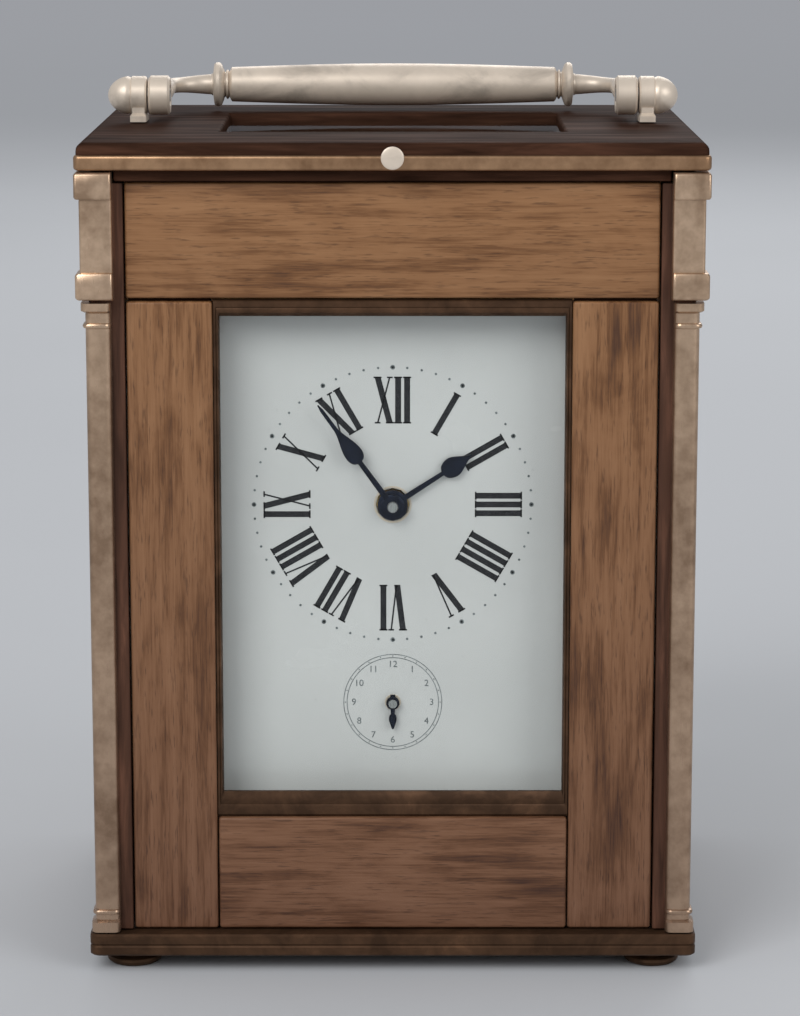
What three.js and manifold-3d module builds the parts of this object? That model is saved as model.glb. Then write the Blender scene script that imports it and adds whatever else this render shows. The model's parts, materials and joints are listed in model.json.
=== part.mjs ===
import * as THREE from "three";
import { mergeVertices } from "three/addons/utils/BufferGeometryUtils.js";
import Module from "manifold-3d";

// A carriage clock in millimetres, +Z up, its front towards -Y and its origin under the middle of the feet.
// Its case is wood panels between brass corner columns, glazed on all sides and on top, round a movement.

// Clearances
const clearance = 0.3;
const seam = 0.6;
const overrun = 1;

// Case
const caseWidth = 110;
const caseDepth = 90;
const footHeight = 3;
const footRadius = 5;
const footInset = 8;
const baseThickness = 4;
const baseInset = 0.5;
const baseEdge = 1;
const seamHeight = 121.2;
const friezeHeight = 20.2;
const blockSide = 6.5;
const blockRecess = 0.8;
const blockBandLow = 4.8;
const blockBandHigh = 4.8;
const columnSide = 4.5;
const columnStep = 1.5;
const neckRecess = 1.4;
const grooveWidth = 2.5;
const grooveDepth = 1.6;
const panelStep = 2;
const panelThickness = 4;
const stileWidth = 15;
const bottomRailTop = 28;

// Cornice, top glass and repeat button
const corniceThickness = 4.8;
const corniceRelief = 2;
const corniceReliefInset = 2.2;
const corniceEdge = 1;
const topMarginX = 24;
const topMarginY = 19;
const glassSeat = 1.5;
const glassThickness = 1.8;
const buttonRadius = 2;
const buttonHead = 1.6;
const buttonStemRadius = 0.9;
const buttonCollar = 1.2;
const proud = 2.6;
const buttonTravel = 2;
const pocketSetback = 11;
const pocketLength = 5;
const pocketHalfWidth = 2.5;

// Handle
const handleReach = 29;
const gripRadius = 4;
const gripInset = 10;
const gripCollarRadius = 4.6;
const gripCollarWidth = 2;
const gripNeckRadius = 2.6;
const gripGroove = 0.4;
const armInset = 12;
const armRadius = 2;
const armBend = 7;
const eyeRadius = 3.6;
const eyeWidth = 4;
const pinRadius = 1.3;
const gripRestGap = 0.6;
const bracketThickness = 3;
const bracketLength = 7;
const bracketKnob = 4.2;

// Front window, dial and hands
const bezelSide = 0.9;
const bezelTop = 3;
const bezelBottom = 4.2;
const bezelDepth = 1.6;
const bezelSetback = 0.6;
const bezelBevel = 0.6;
const glassBevel = 0.8;
const dialWidth = 64;
const dialLowMargin = 1;
const dialHighMargin = 1.7;
const dialThickness = 1.2;
const dialSetback = 8.5;
const dialDrop = 37.6;
const subdialDrop = 36.4;
const dialHole = 3;
const dialFootRadius = 1.2;
const dialFootInset = 4.5;
const handThickness = 0.6;
const handSpacing = 0.6;
const hourHandLength = 16.8;
const hourHandWidth = 1.7;
const hourHandBulge = 2.2;
const hourBulgeShare = 0.78;
const hourHubRadius = 3.3;
const hourHandAngle = 57;
const minuteHandLength = 22.6;
const minuteHandWidth = 1.5;
const minuteHandBulge = 2;
const minuteBulgeShare = 0.5;
const minuteHubRadius = 2.4;
const minuteHandAngle = -36;
const alarmHandLength = 4.8;
const alarmHandWidth = 1;
const alarmHandBulge = 0.9;
const alarmBulgeShare = 0.6;
const alarmHubRadius = 1.7;
const alarmHandAngle = 180;
const handTipShare = 0.4;

// Rear door
const doorGap = 0.3;
const doorTopRail = 14;
const doorPinRadius = 1.2;
const doorPinLength = 2.6;
const doorPinInset = 4.4;
const knobRadius = 2.6;
const knobNeck = 1.3;
const knobInset = 6;

// Movement frame
const plateHalfWidth = 31;
const plateThickness = 2;
const frontPlateSetback = 14.5;
const caseRoom = 50;
const plateDrop = 18;
const plateHole = 0.3;
const pillarRadius = 2.2;
const pillarInset = 5;
const pillarRise = 7;

// Trains: tooth counts, modules and where each wheel lies behind the front plate
const addendumShare = 0.62;
const dedendumShare = 0.95;
const toothTipShare = 0.24;
const toothRootShare = 0.46;
const arborRadius = 1;
const pipeWall = 0.7;
const wheelThickness = 1;
const wheelHub = 2.4;
const wheelRim = 1.8;
const spokes = 4;
const spokeWidth = 1.4;
const pinionLength = 2.8;
const greatTeeth = 54;
const greatModule = 2 / 3;
const greatThickness = 1.6;
const centrePinionLeaves = 8;
const centreTeeth = 45;
const centreModule = 0.6;
const thirdPinionLeaves = 8;
const thirdTeeth = 40;
const thirdModule = 0.6;
const contratePinionLeaves = 6;
const contrateTeeth = 36;
const contrateRadius = 8;
const contrateRimHeight = 1.2;
const contrateToothHeight = 1.4;
const cannonLeaves = 8;
const minuteWheelTeeth = 24;
const motionModule = 0.675;
const minutePinionLeaves = 8;
const hourWheelTeeth = 32;
const barrelSpread = 14;
const drumRadius = 13.3;
const drumLengthShare = 0.535;
const winderRadius = 2;
const winderSquare = 1.7;
const winderReach = 10;
const setterReach = 2.4;
const greatSetback = 3;
const centreWheelShare = 0.8125;
const thirdAcross = 9;
const thirdWheelShare = 0.475;
const contrateShare = 0.7;
const motionAngle = -160;
const minuteWheelGap = 1.4;
const hourWheelGap = 0.6;

// Alarm
const alarmBarrelAcross = 13;
const alarmHeightShare = 0.54;
const alarmDrumRadius = 9;
const alarmDrumLengthShare = 0.45;
const alarmDrumSetbackShare = 0.325;
const alarmArborRadius = 0.8;

// Platform escapement
const platformHalfWidth = 17;
const platformThickness = 1.5;
const escapeRadius = 4.5;
const escapeTeeth = 15;
const escapeThickness = 0.6;
const escapeLift = 1;
const escapePinionRadius = 1.3;
const staffRadius = 0.6;
const leverReach = 6.5;
const leverLift = 2.2;
const leverLength = 6.6;
const leverWidth = 1.2;
const palletSpan = 3;
const balanceReach = 8.5;
const balanceRadius = 8.5;
const balanceRim = 1.3;
const balanceThickness = 1;
const balanceLift = 4.6;
const bridgeThickness = 1.2;
const bridgeWidth = 5;
const bridgeFoot = 4;
const bridgeLift = 3.4;
const bridgeReach = 1.6;
const cockLift = 6.8;
const regulatorRadius = 2.4;
const regulatorLength = 9;
const regulatorWidth = 1;
const regulatorThickness = 0.6;

// Gong and hammer
const gongRise = 29;
const gongInnerRadius = 20.5;
const gongPitch = 2.7;
const gongTurns = 2.5;
const gongWire = 1.5;
const gongLift = 4.5;
const gongBlock = 4;
const hammerAcross = 27;
const hammerRise = 42;
const hammerHeadAngle = 40;
const hammerRestGap = 1.4;
const hammerHeadRadius = 2.4;
const hammerHeadLength = 3.4;
const hammerArmWidth = 1.6;

// Facets of round pieces
const roundSteps = 24;
const smallSteps = 12;
const tinySteps = 8;
const squareSides = 4;
const wireSides = 6;
const gongStepsPerTurn = 24;

// Places worked out from the sizes above
const halfWidth = caseWidth / 2;
const halfDepth = caseDepth / 2;
const baseTop = footHeight + baseThickness;
const bodyBottom = baseTop + clearance;
const friezeBottom = seamHeight + seam;
const friezeTop = friezeBottom + friezeHeight;
const reliefBottom = friezeTop + clearance;
const corniceBottom = reliefBottom + corniceRelief;
const corniceTop = corniceBottom + corniceThickness;
const panelRim = columnStep + columnSide + grooveWidth;
const frontPanelHalf = halfWidth - panelRim;
const sidePanelHalf = halfDepth - panelRim;
const panelFace = columnStep + panelStep;
const panelFrontY = -halfDepth + panelFace;
const panelBackY = panelFrontY + panelThickness;
const windowHalf = frontPanelHalf - stileWidth;
const sideWindowHalf = sidePanelHalf - stileWidth;
const armSpan = halfWidth - armInset;
const gripHalfLength = armSpan - gripInset;
const dialLow = bottomRailTop + dialLowMargin;
const dialHigh = seamHeight - dialHighMargin;
const dialCentre = seamHeight - dialDrop;
const subdialCentre = dialCentre - subdialDrop;
const dialFrontY = panelFrontY + dialSetback;
const dialBackY = dialFrontY + dialThickness;
const frontPlateY = panelFrontY + frontPlateSetback;
const frontPlateBackY = frontPlateY + plateThickness;
const plateSpacing = caseDepth - caseRoom;
const backPlateY = frontPlateBackY + plateSpacing;
const backPlateBackY = backPlateY + plateThickness;
const plateHigh = friezeTop - plateDrop;
const pillarLow = bodyBottom + pillarRise;
const pillarHigh = plateHigh - pillarRise;
const platformBottom = plateHigh + clearance;
const platformTop = platformBottom + platformThickness;
const handleAxisZ = corniceTop + gripRestGap + gripRadius + gripGroove;

const mergeTolerance = 1e-4;

const wasm = await Module();
wasm.setup();

// Turns a closed geometry into a solid for joining and cutting.
function toSolid(geometry) {
  const bare = geometry.clone();
  bare.deleteAttribute("normal");
  bare.deleteAttribute("uv");
  const merged = mergeVertices(bare, mergeTolerance);
  const vertProperties = merged.attributes.position.array;
  const triVerts = new Uint32Array(merged.index.array);
  return new wasm.Manifold(new wasm.Mesh({ numProp: 3, vertProperties, triVerts }));
}

function toGeometry(solid) {
  const mesh = solid.getMesh();
  const geometry = new THREE.BufferGeometry();
  geometry.setAttribute("position", new THREE.BufferAttribute(mesh.vertProperties, 3));
  geometry.setIndex(new THREE.BufferAttribute(mesh.triVerts, 1));
  return geometry;
}

function join(...geometries) {
  return toGeometry(geometries.map(toSolid).reduce((all, next) => all.add(next)));
}

function cut(geometry, ...tools) {
  return toGeometry(tools.map(toSolid).reduce((left, tool) => left.subtract(tool), toSolid(geometry)));
}

// A block between two opposite corners.
function block(x0, x1, y0, y1, z0, z1) {
  const geometry = new THREE.BoxGeometry(x1 - x0, y1 - y0, z1 - z0);
  return geometry.translate((x0 + x1) / 2, (y0 + y1) / 2, (z0 + z1) / 2);
}

function vector2(pairs) {
  return pairs.map(([u, v]) => new THREE.Vector2(u, v));
}

// Turned about the Y axis: the profile is pairs of radius and y, from the axis out and back to it.
function turnedY(profile, x, z, steps = roundSteps) {
  return new THREE.LatheGeometry(vector2(profile), steps).translate(x, 0, z);
}

function turnedZ(profile, x, y, steps = roundSteps) {
  return new THREE.LatheGeometry(vector2(profile), steps).rotateX(Math.PI / 2).translate(x, y, 0);
}

function turnedX(profile, y, z, steps = roundSteps) {
  return new THREE.LatheGeometry(vector2(profile), steps).rotateZ(-Math.PI / 2).translate(0, y, z);
}

function rodProfile(radius, from, to) {
  return [[0, from], [radius, from], [radius, to], [0, to]];
}

function ringProfile(inner, outer, from, to) {
  return [[inner, from], [outer, from], [outer, to], [inner, to], [inner, from]];
}

function rodY(radius, x, z, y0, y1, steps = smallSteps) {
  return turnedY(rodProfile(radius, y0, y1), x, z, steps);
}

function rodZ(radius, x, y, z0, z1, steps = smallSteps) {
  return turnedZ(rodProfile(radius, z0, z1), x, y, steps);
}

function rodX(radius, y, z, x0, x1, steps = smallSteps) {
  return turnedX(rodProfile(radius, x0, x1), y, z, steps);
}

// An outline in x and z, extruded from y0 back to y1.
function plateY(outline, y0, y1, holes = []) {
  const shape = new THREE.Shape(vector2(outline));
  holes.forEach((hole) => shape.holes.push(new THREE.Path(vector2(hole))));
  const geometry = new THREE.ExtrudeGeometry(shape, { depth: y1 - y0, bevelEnabled: false });
  return geometry.rotateX(Math.PI / 2).translate(0, y1, 0);
}

// An outline in x and y, extruded from z0 up to z1.
function plateZ(outline, z0, z1) {
  const shape = new THREE.Shape(vector2(outline));
  return new THREE.ExtrudeGeometry(shape, { depth: z1 - z0, bevelEnabled: false }).translate(0, 0, z0);
}

// A closed skin through rectangles in x and z, each at its own y. As a ring it closes on its first rectangle.
function rectangleSkin(rectangles, isRing) {
  const corners = rectangles.flatMap(({ half, low, high, y }) => [
    [-half, y, low],
    [half, y, low],
    [half, y, high],
    [-half, y, high],
  ]);
  const faces = [];
  const count = rectangles.length;
  const spans = isRing ? count : count - 1;
  for (let i = 0; i < spans; i++) {
    const a = 4 * i;
    const b = 4 * ((i + 1) % count);
    for (let k = 0; k < 4; k++) {
      const n = (k + 1) % 4;
      faces.push([a + k, b + k, b + n], [a + k, b + n, a + n]);
    }
  }
  if (!isRing) {
    const last = 4 * (count - 1);
    faces.push([0, 1, 2], [0, 2, 3], [last, last + 2, last + 1], [last, last + 3, last + 2]);
  }
  const geometry = new THREE.BufferGeometry();
  geometry.setAttribute("position", new THREE.Float32BufferAttribute(corners.flat(), 3));
  geometry.setIndex(faces.flat());
  return geometry;
}

// A pane with bevelled front edges, in x and z.
function pane(half, low, high, yFront, yBack, bevel) {
  return rectangleSkin([
    { half: half - bevel, low: low + bevel, high: high - bevel, y: yFront },
    { half, low, high, y: (yFront + yBack) / 2 },
    { half, low, high, y: yBack },
  ], false);
}

// The mirror image, with each triangle turned round so that it still faces out.
function mirrored(geometry, alongX, alongY) {
  const image = geometry.clone().scale(alongX, alongY, 1);
  const index = image.index.array;
  for (let i = 0; i < index.length; i += 3) {
    const second = index[i + 1];
    index[i + 1] = index[i + 2];
    index[i + 2] = second;
  }
  return image;
}

function mirrorX(geometry) {
  return mirrored(geometry, -1, 1);
}

function mirrorY(geometry) {
  return mirrored(geometry, 1, -1);
}

// Teeth round the origin in x and z, one of them pointing at the angle given.
function toothedOutline(teeth, module, pointing) {
  const pitchRadius = (teeth * module) / 2;
  const tip = pitchRadius + addendumShare * module;
  const root = pitchRadius - dedendumShare * module;
  const pitch = (2 * Math.PI) / teeth;
  const outline = [];
  for (let i = 0; i < teeth; i++) {
    const middle = pointing + i * pitch;
    const corners = [
      [root, -toothRootShare / 2],
      [tip, -toothTipShare / 2],
      [tip, toothTipShare / 2],
      [root, toothRootShare / 2],
    ];
    corners.forEach(([radius, share]) => {
      const angle = middle + share * pitch;
      outline.push([radius * Math.cos(angle), radius * Math.sin(angle)]);
    });
  }
  return outline;
}

// The window between two spokes of a wheel, as an outline.
function crossingHole(inner, outer, from, to) {
  const steps = tinySteps / 2;
  const hole = [];
  for (let i = 0; i <= steps; i++) {
    const edge = from + ((to - from) * i) / steps;
    hole.push([outer * Math.cos(edge), outer * Math.sin(edge)]);
  }
  const middle = (from + to) / 2;
  const reach = (to - from) / 4;
  hole.push([inner * Math.cos(middle + reach), inner * Math.sin(middle + reach)]);
  hole.push([inner * Math.cos(middle - reach), inner * Math.sin(middle - reach)]);
  return hole;
}

// A toothed wheel with its spokes crossed out, on the axis along y at x and z.
function wheel(teeth, module, pointing, x, z, y0, y1) {
  const rimInner = (teeth * module) / 2 - dedendumShare * module - wheelRim;
  const half = spokeWidth / 2 / rimInner;
  const holes = [];
  for (let i = 0; i < spokes; i++) {
    const start = (i * 2 * Math.PI) / spokes;
    const end = start + (2 * Math.PI) / spokes;
    holes.push(crossingHole(wheelHub + spokeWidth, rimInner, start + half, end - half));
  }
  return plateY(toothedOutline(teeth, module, pointing), y0, y1, holes).translate(x, 0, z);
}

function pinion(leaves, module, pointing, x, z, y0, y1) {
  return plateY(toothedOutline(leaves, module, pointing), y0, y1).translate(x, 0, z);
}

// The distance between the axes of a meshing pair.
function centres(a, b, module) {
  return ((a + b) * module) / 2;
}

// The angle for a wheel whose gap faces a tooth that points at it along the angle given.
function facingGap(teeth, along) {
  return along + Math.PI + Math.PI / teeth;
}

function degrees(value) {
  return (value * Math.PI) / 180;
}

// Axes of the trains, in x and z
const greatReach = centres(greatTeeth, centrePinionLeaves, greatModule);
const barrelDrop = Math.sqrt(greatReach ** 2 - barrelSpread ** 2);
const barrelHeight = dialCentre - barrelDrop;
const alarmRoom = barrelHeight - drumRadius - bodyBottom;
const alarmBarrelHeight = bodyBottom + alarmHeightShare * alarmRoom;
const gongHeight = alarmBarrelHeight + gongRise;
const hammerHeight = gongHeight + hammerRise;
const thirdReach = centres(centreTeeth, thirdPinionLeaves, centreModule);
const thirdX = -thirdAcross;
const thirdZ = dialCentre + Math.sqrt(thirdReach ** 2 - thirdAcross ** 2);
const contrateReach = centres(thirdTeeth, contratePinionLeaves, thirdModule);
const contrateZ = thirdZ + Math.sqrt(contrateReach ** 2 - thirdAcross ** 2);
const motionReach = centres(cannonLeaves, minuteWheelTeeth, motionModule);
const hourModule = (2 * motionReach) / (minutePinionLeaves + hourWheelTeeth);
const motionX = motionReach * Math.cos(degrees(motionAngle));
const motionZ = dialCentre + motionReach * Math.sin(degrees(motionAngle));

// Directions from one axis to the next
const greatToCentre = Math.atan2(dialCentre - barrelHeight, -barrelSpread);
const centreToThird = Math.atan2(thirdZ - dialCentre, thirdX);
const thirdToContrate = Math.atan2(contrateZ - thirdZ, -thirdX);

// Places along y inside the movement
const greatY0 = frontPlateBackY + greatSetback;
const greatY1 = greatY0 + greatThickness;
const drumBack = greatY1 + drumLengthShare * plateSpacing;
const centreWheelY = frontPlateBackY + centreWheelShare * plateSpacing;
const thirdWheelY = frontPlateBackY + thirdWheelShare * plateSpacing;
const contrateY = frontPlateBackY + contrateShare * plateSpacing;
const contrateFace = contrateY + contrateRimHeight + contrateToothHeight;
const minuteWheelY1 = frontPlateY - minuteWheelGap;
const minuteWheelY0 = minuteWheelY1 - wheelThickness;
const hourWheelY0 = dialBackY + hourWheelGap;
const hourWheelY1 = hourWheelY0 + wheelThickness;
const hourHandY1 = dialFrontY - handSpacing;
const hourHandY0 = hourHandY1 - handThickness;
const minuteHandY1 = hourHandY0 - handSpacing;
const minuteHandY0 = minuteHandY1 - handThickness;
const escapeY = contrateFace + clearance + escapePinionRadius;
const leverY = escapeY - leverReach;
const balanceY = leverY - balanceReach;

// Finishes
const finishes = {
  wood: { color: 0x7a5a40, roughness: 0.5, metalness: 0 },
  darkBrass: { color: 0x4d3d28, roughness: 0.5, metalness: 0.7 },
  brass: { color: 0xb59a72, roughness: 0.4, metalness: 0.8 },
  movementBrass: { color: 0xc0a060, roughness: 0.35, metalness: 0.9 },
  steel: { color: 0x9a9a98, roughness: 0.3, metalness: 0.9 },
  blued: { color: 0x1c2024, roughness: 0.35, metalness: 0.6 },
  enamel: { color: 0xe4e6e0, roughness: 0.25, metalness: 0 },
  glass: { color: 0xdce6e6, roughness: 0.05, metalness: 0 },
};

const clock = new THREE.Group();

function addPiece(name, geometry, finish) {
  const mesh = new THREE.Mesh(geometry, new THREE.MeshStandardMaterial(finishes[finish]));
  mesh.name = name;
  clock.add(mesh);
}

// Four low turned feet near the corners of the base.
function makeFeet() {
  const profile = [
    [0, 0],
    [footRadius - baseEdge, 0],
    [footRadius, baseEdge],
    [footRadius, footHeight],
    [0, footHeight],
  ];
  const x = halfWidth - footInset;
  const y = halfDepth - footInset;
  addPiece("foot_front_left", turnedZ(profile, -x, -y, smallSteps), "darkBrass");
  addPiece("foot_front_right", turnedZ(profile, x, -y, smallSteps), "darkBrass");
  addPiece("foot_rear_left", turnedZ(profile, -x, y, smallSteps), "darkBrass");
  addPiece("foot_rear_right", turnedZ(profile, x, y, smallSteps), "darkBrass");
}

const doorPinX = -frontPanelHalf + doorPinInset;
const doorPinY = -panelFrontY - panelThickness / 2;

// The base plate rests on the feet and takes the lower door pin.
function makeBase() {
  const half = halfWidth - baseInset;
  const depth = halfDepth - baseInset;
  const outline = [
    [-half, -depth + baseEdge],
    [-half + baseEdge, -depth],
    [half - baseEdge, -depth],
    [half, -depth + baseEdge],
    [half, depth - baseEdge],
    [half - baseEdge, depth],
    [-half + baseEdge, depth],
    [-half, depth - baseEdge],
  ];
  const plate = plateZ(outline, footHeight, baseTop);
  const pinHole = rodZ(
    doorPinRadius + clearance, doorPinX, doorPinY, baseTop - doorPinLength, baseTop + overrun, tinySteps,
  );
  addPiece("base_plate", cut(plate, pinHole), "darkBrass");
}

// A corner column: a shaft, a web behind the grooves, a neck at the seam and a banded block above it.
function makeColumn() {
  const shaftOutX = halfWidth - columnStep;
  const shaftOutY = halfDepth - columnStep;
  const shaftInX = shaftOutX - columnSide;
  const shaftInY = shaftOutY - columnSide;
  const webInX = frontPanelHalf + clearance;
  const webInY = sidePanelHalf + clearance;
  const webOutX = halfWidth - panelFace - grooveDepth;
  const webOutY = halfDepth - panelFace - grooveDepth;
  const blockInX = halfWidth - blockSide;
  const blockInY = halfDepth - blockSide;
  const lowBandTop = friezeBottom + blockBandLow;
  const blockTop = corniceBottom - clearance;
  const highBandBottom = blockTop - blockBandHigh;
  return join(
    block(shaftInX, shaftOutX, -shaftOutY, -shaftInY, bodyBottom, seamHeight),
    block(webInX, webOutX, -webOutY, -webInY, bodyBottom, friezeTop),
    block(
      shaftInX, shaftOutX - neckRecess, -shaftOutY + neckRecess, -shaftInY, seamHeight, friezeBottom,
    ),
    block(blockInX, halfWidth, -halfDepth, -blockInY, friezeBottom, lowBandTop),
    block(
      blockInX, halfWidth - blockRecess, -halfDepth + blockRecess, -blockInY, lowBandTop, highBandBottom,
    ),
    block(blockInX, halfWidth, -halfDepth, -blockInY, highBandBottom, blockTop),
  );
}

function makeColumns() {
  const frontRight = makeColumn();
  const frontLeft = mirrorX(frontRight);
  addPiece("column_front_right", frontRight, "brass");
  addPiece("column_front_left", frontLeft, "brass");
  addPiece("column_rear_right", mirrorY(frontRight), "brass");
  addPiece("column_rear_left", mirrorY(frontLeft), "brass");
}

// Wood above the seam on all four sides; the rear one takes the upper door pin.
function makeFriezes() {
  const backFace = -panelFrontY;
  const sideOut = halfWidth - panelFace;
  const sideIn = sideOut - panelThickness;
  addPiece(
    "frieze_front",
    block(-frontPanelHalf, frontPanelHalf, panelFrontY, panelBackY, friezeBottom, friezeTop),
    "wood",
  );
  const rear = block(-frontPanelHalf, frontPanelHalf, -panelBackY, backFace, friezeBottom, friezeTop);
  const pinHole = rodZ(
    doorPinRadius + clearance,
    doorPinX,
    doorPinY,
    friezeBottom - overrun,
    friezeBottom + doorPinLength,
    tinySteps,
  );
  addPiece("frieze_rear", cut(rear, pinHole), "wood");
  addPiece(
    "frieze_right",
    block(sideIn, sideOut, -sidePanelHalf, sidePanelHalf, friezeBottom, friezeTop),
    "wood",
  );
  addPiece(
    "frieze_left",
    block(-sideOut, -sideIn, -sidePanelHalf, sidePanelHalf, friezeBottom, friezeTop),
    "wood",
  );
}

// The front frame: two stiles up to the seam, with the bottom rail between them.
function makeFrontFrame() {
  const railHalf = windowHalf - clearance;
  addPiece(
    "stile_front_right",
    block(windowHalf, frontPanelHalf, panelFrontY, panelBackY, bodyBottom, seamHeight),
    "wood",
  );
  addPiece(
    "stile_front_left",
    block(-frontPanelHalf, -windowHalf, panelFrontY, panelBackY, bodyBottom, seamHeight),
    "wood",
  );
  addPiece(
    "rail_front_bottom",
    block(-railHalf, railHalf, panelFrontY, panelBackY, bodyBottom, bottomRailTop),
    "wood",
  );
}

// Each side frame is a U of two stiles and a bottom rail, closed above by the frieze.
function makeSideFrames() {
  const out = halfWidth - panelFace;
  const frame = join(
    block(out - panelThickness, out, -sidePanelHalf, -sideWindowHalf, bodyBottom, seamHeight),
    block(out - panelThickness, out, sideWindowHalf, sidePanelHalf, bodyBottom, seamHeight),
    block(out - panelThickness, out, -sidePanelHalf, sidePanelHalf, bodyBottom, bottomRailTop),
  );
  addPiece("side_frame_right", frame, "wood");
  addPiece("side_frame_left", mirrorX(frame), "wood");
  const half = sideWindowHalf - clearance;
  const middle = out - panelThickness / 2;
  const glass = block(
    middle - glassThickness / 2,
    middle + glassThickness / 2,
    -half,
    half,
    bottomRailTop + clearance,
    friezeBottom - clearance,
  );
  addPiece("side_glass_right", glass, "glass");
  addPiece("side_glass_left", mirrorX(glass), "glass");
}

// A thin bevelled frame round the dial, with the front glass behind it.
function makeFrontWindow() {
  const half = windowHalf - clearance;
  const low = bottomRailTop + clearance;
  const high = friezeBottom - clearance;
  const front = panelFrontY + bezelSetback;
  const back = front + bezelDepth;
  const innerHalf = half - bezelSide;
  const innerLow = low + bezelBottom;
  const innerHigh = high - bezelTop;
  const bezel = rectangleSkin([
    { half, low, high, y: front },
    { half, low, high, y: back },
    { half: innerHalf, low: innerLow, high: innerHigh, y: back },
    { half: innerHalf, low: innerLow, high: innerHigh, y: front + bezelBevel },
    {
      half: innerHalf + bezelBevel / 2,
      low: innerLow - bezelBevel,
      high: innerHigh + bezelBevel,
      y: front,
    },
  ], true);
  addPiece("window_bezel", bezel, "darkBrass");
  const glassY = back + clearance;
  addPiece("front_glass", pane(half, low, high, glassY, glassY + glassThickness, glassBevel), "glass");
}

// The glazed rear door swings on two pins, with a knob at its free edge.
function makeRearDoor() {
  const out = -panelFrontY;
  const half = frontPanelHalf - doorGap;
  const low = bodyBottom + doorGap;
  const high = seamHeight;
  const windowTop = high - doorTopRail;
  const leaf = block(-half, half, out - panelThickness, out, low, high);
  const opening = block(
    -windowHalf, windowHalf, out - panelThickness - overrun, out + overrun, bottomRailTop, windowTop,
  );
  const frame = join(
    cut(leaf, opening),
    rodZ(doorPinRadius, doorPinX, doorPinY, low - doorPinLength, high, tinySteps),
    rodZ(doorPinRadius, doorPinX, doorPinY, high - overrun, high + doorPinLength, tinySteps),
  );
  addPiece("rear_door", frame, "wood");
  const glassY = doorPinY + glassThickness / 2;
  const glass = pane(
    windowHalf - clearance,
    bottomRailTop + clearance,
    windowTop - clearance,
    doorPinY - glassThickness / 2,
    glassY,
    0,
  );
  addPiece("rear_glass", glass, "glass");
  const knobEnd = halfDepth + proud;
  const knobStart = out + clearance;
  const knob = turnedY(
    [
      [0, knobStart],
      [knobNeck, knobStart],
      [knobNeck, knobEnd - knobRadius],
      [knobRadius, knobEnd - knobRadius],
      [knobRadius, knobEnd - knobNeck / 2],
      [knobRadius - knobNeck / 2, knobEnd],
      [0, knobEnd],
    ],
    half - knobInset,
    (low + high) / 2,
    smallSteps,
  );
  addPiece("door_knob", knob, "brass");
}

const buttonZ = corniceBottom + corniceThickness / 2;

// The cornice closes the top: a softened slab, open for its glass, over a step that lies between the blocks.
function makeCornice() {
  const outline = (insetX, insetY) => {
    const x = halfWidth - insetX;
    const y = halfDepth - insetY;
    return [[-x, -y], [x, -y], [x, y], [-x, y]];
  };
  const notch = blockSide + clearance;
  const windowX = halfWidth - topMarginX;
  const windowY = halfDepth - topMarginY;
  const seatZ = corniceTop - glassSeat - glassThickness;
  const solid = join(
    plateZ(outline(notch, corniceReliefInset), reliefBottom, corniceBottom + corniceEdge),
    plateZ(outline(corniceReliefInset, notch), reliefBottom, corniceBottom + corniceEdge),
    plateZ(outline(corniceEdge / 2, corniceEdge / 2), corniceBottom, corniceTop),
    plateZ(outline(0, 0), corniceBottom + corniceEdge, corniceTop - corniceEdge),
  );
  const opening = block(
    -windowX + glassSeat,
    windowX - glassSeat,
    -windowY + glassSeat,
    windowY - glassSeat,
    reliefBottom - overrun,
    corniceTop + overrun,
  );
  const seat = block(-windowX, windowX, -windowY, windowY, seatZ, corniceTop + overrun);
  const pocketY = -halfDepth + pocketSetback;
  const bore = rodY(
    buttonStemRadius + clearance, 0, buttonZ, -halfDepth - overrun, pocketY + overrun, tinySteps,
  );
  const pocket = block(
    -pocketHalfWidth,
    pocketHalfWidth,
    pocketY,
    pocketY + pocketLength,
    reliefBottom - overrun,
    buttonZ + buttonRadius,
  );
  addPiece("cornice", cut(solid, opening, seat, bore, pocket), "brass");
  addPiece(
    "top_glass",
    block(
      -windowX + clearance,
      windowX - clearance,
      -windowY + clearance,
      windowY - clearance,
      seatZ + clearance,
      seatZ + clearance + glassThickness,
    ),
    "glass",
  );
}

// The repeat button slides in the front of the cornice and is kept in by a collar in a pocket behind.
function makeButton() {
  const tip = -halfDepth - proud;
  const collarStart = -halfDepth + pocketSetback + clearance;
  const button = turnedY(
    [
      [0, tip],
      [buttonRadius - buttonHead / 4, tip],
      [buttonRadius, tip + buttonHead / 4],
      [buttonRadius, tip + proud - buttonTravel - clearance],
      [buttonStemRadius, tip + proud - buttonTravel - clearance],
      [buttonStemRadius, collarStart],
      [buttonCollar, collarStart],
      [buttonCollar, collarStart + buttonHead / 2],
      [0, collarStart + buttonHead / 2],
    ],
    0,
    buttonZ,
    smallSteps,
  );
  addPiece("repeat_button", button, "brass");
}

const bracketIn = armSpan + eyeWidth / 2 + clearance;
const bracketOut = bracketIn + bracketThickness;

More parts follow.
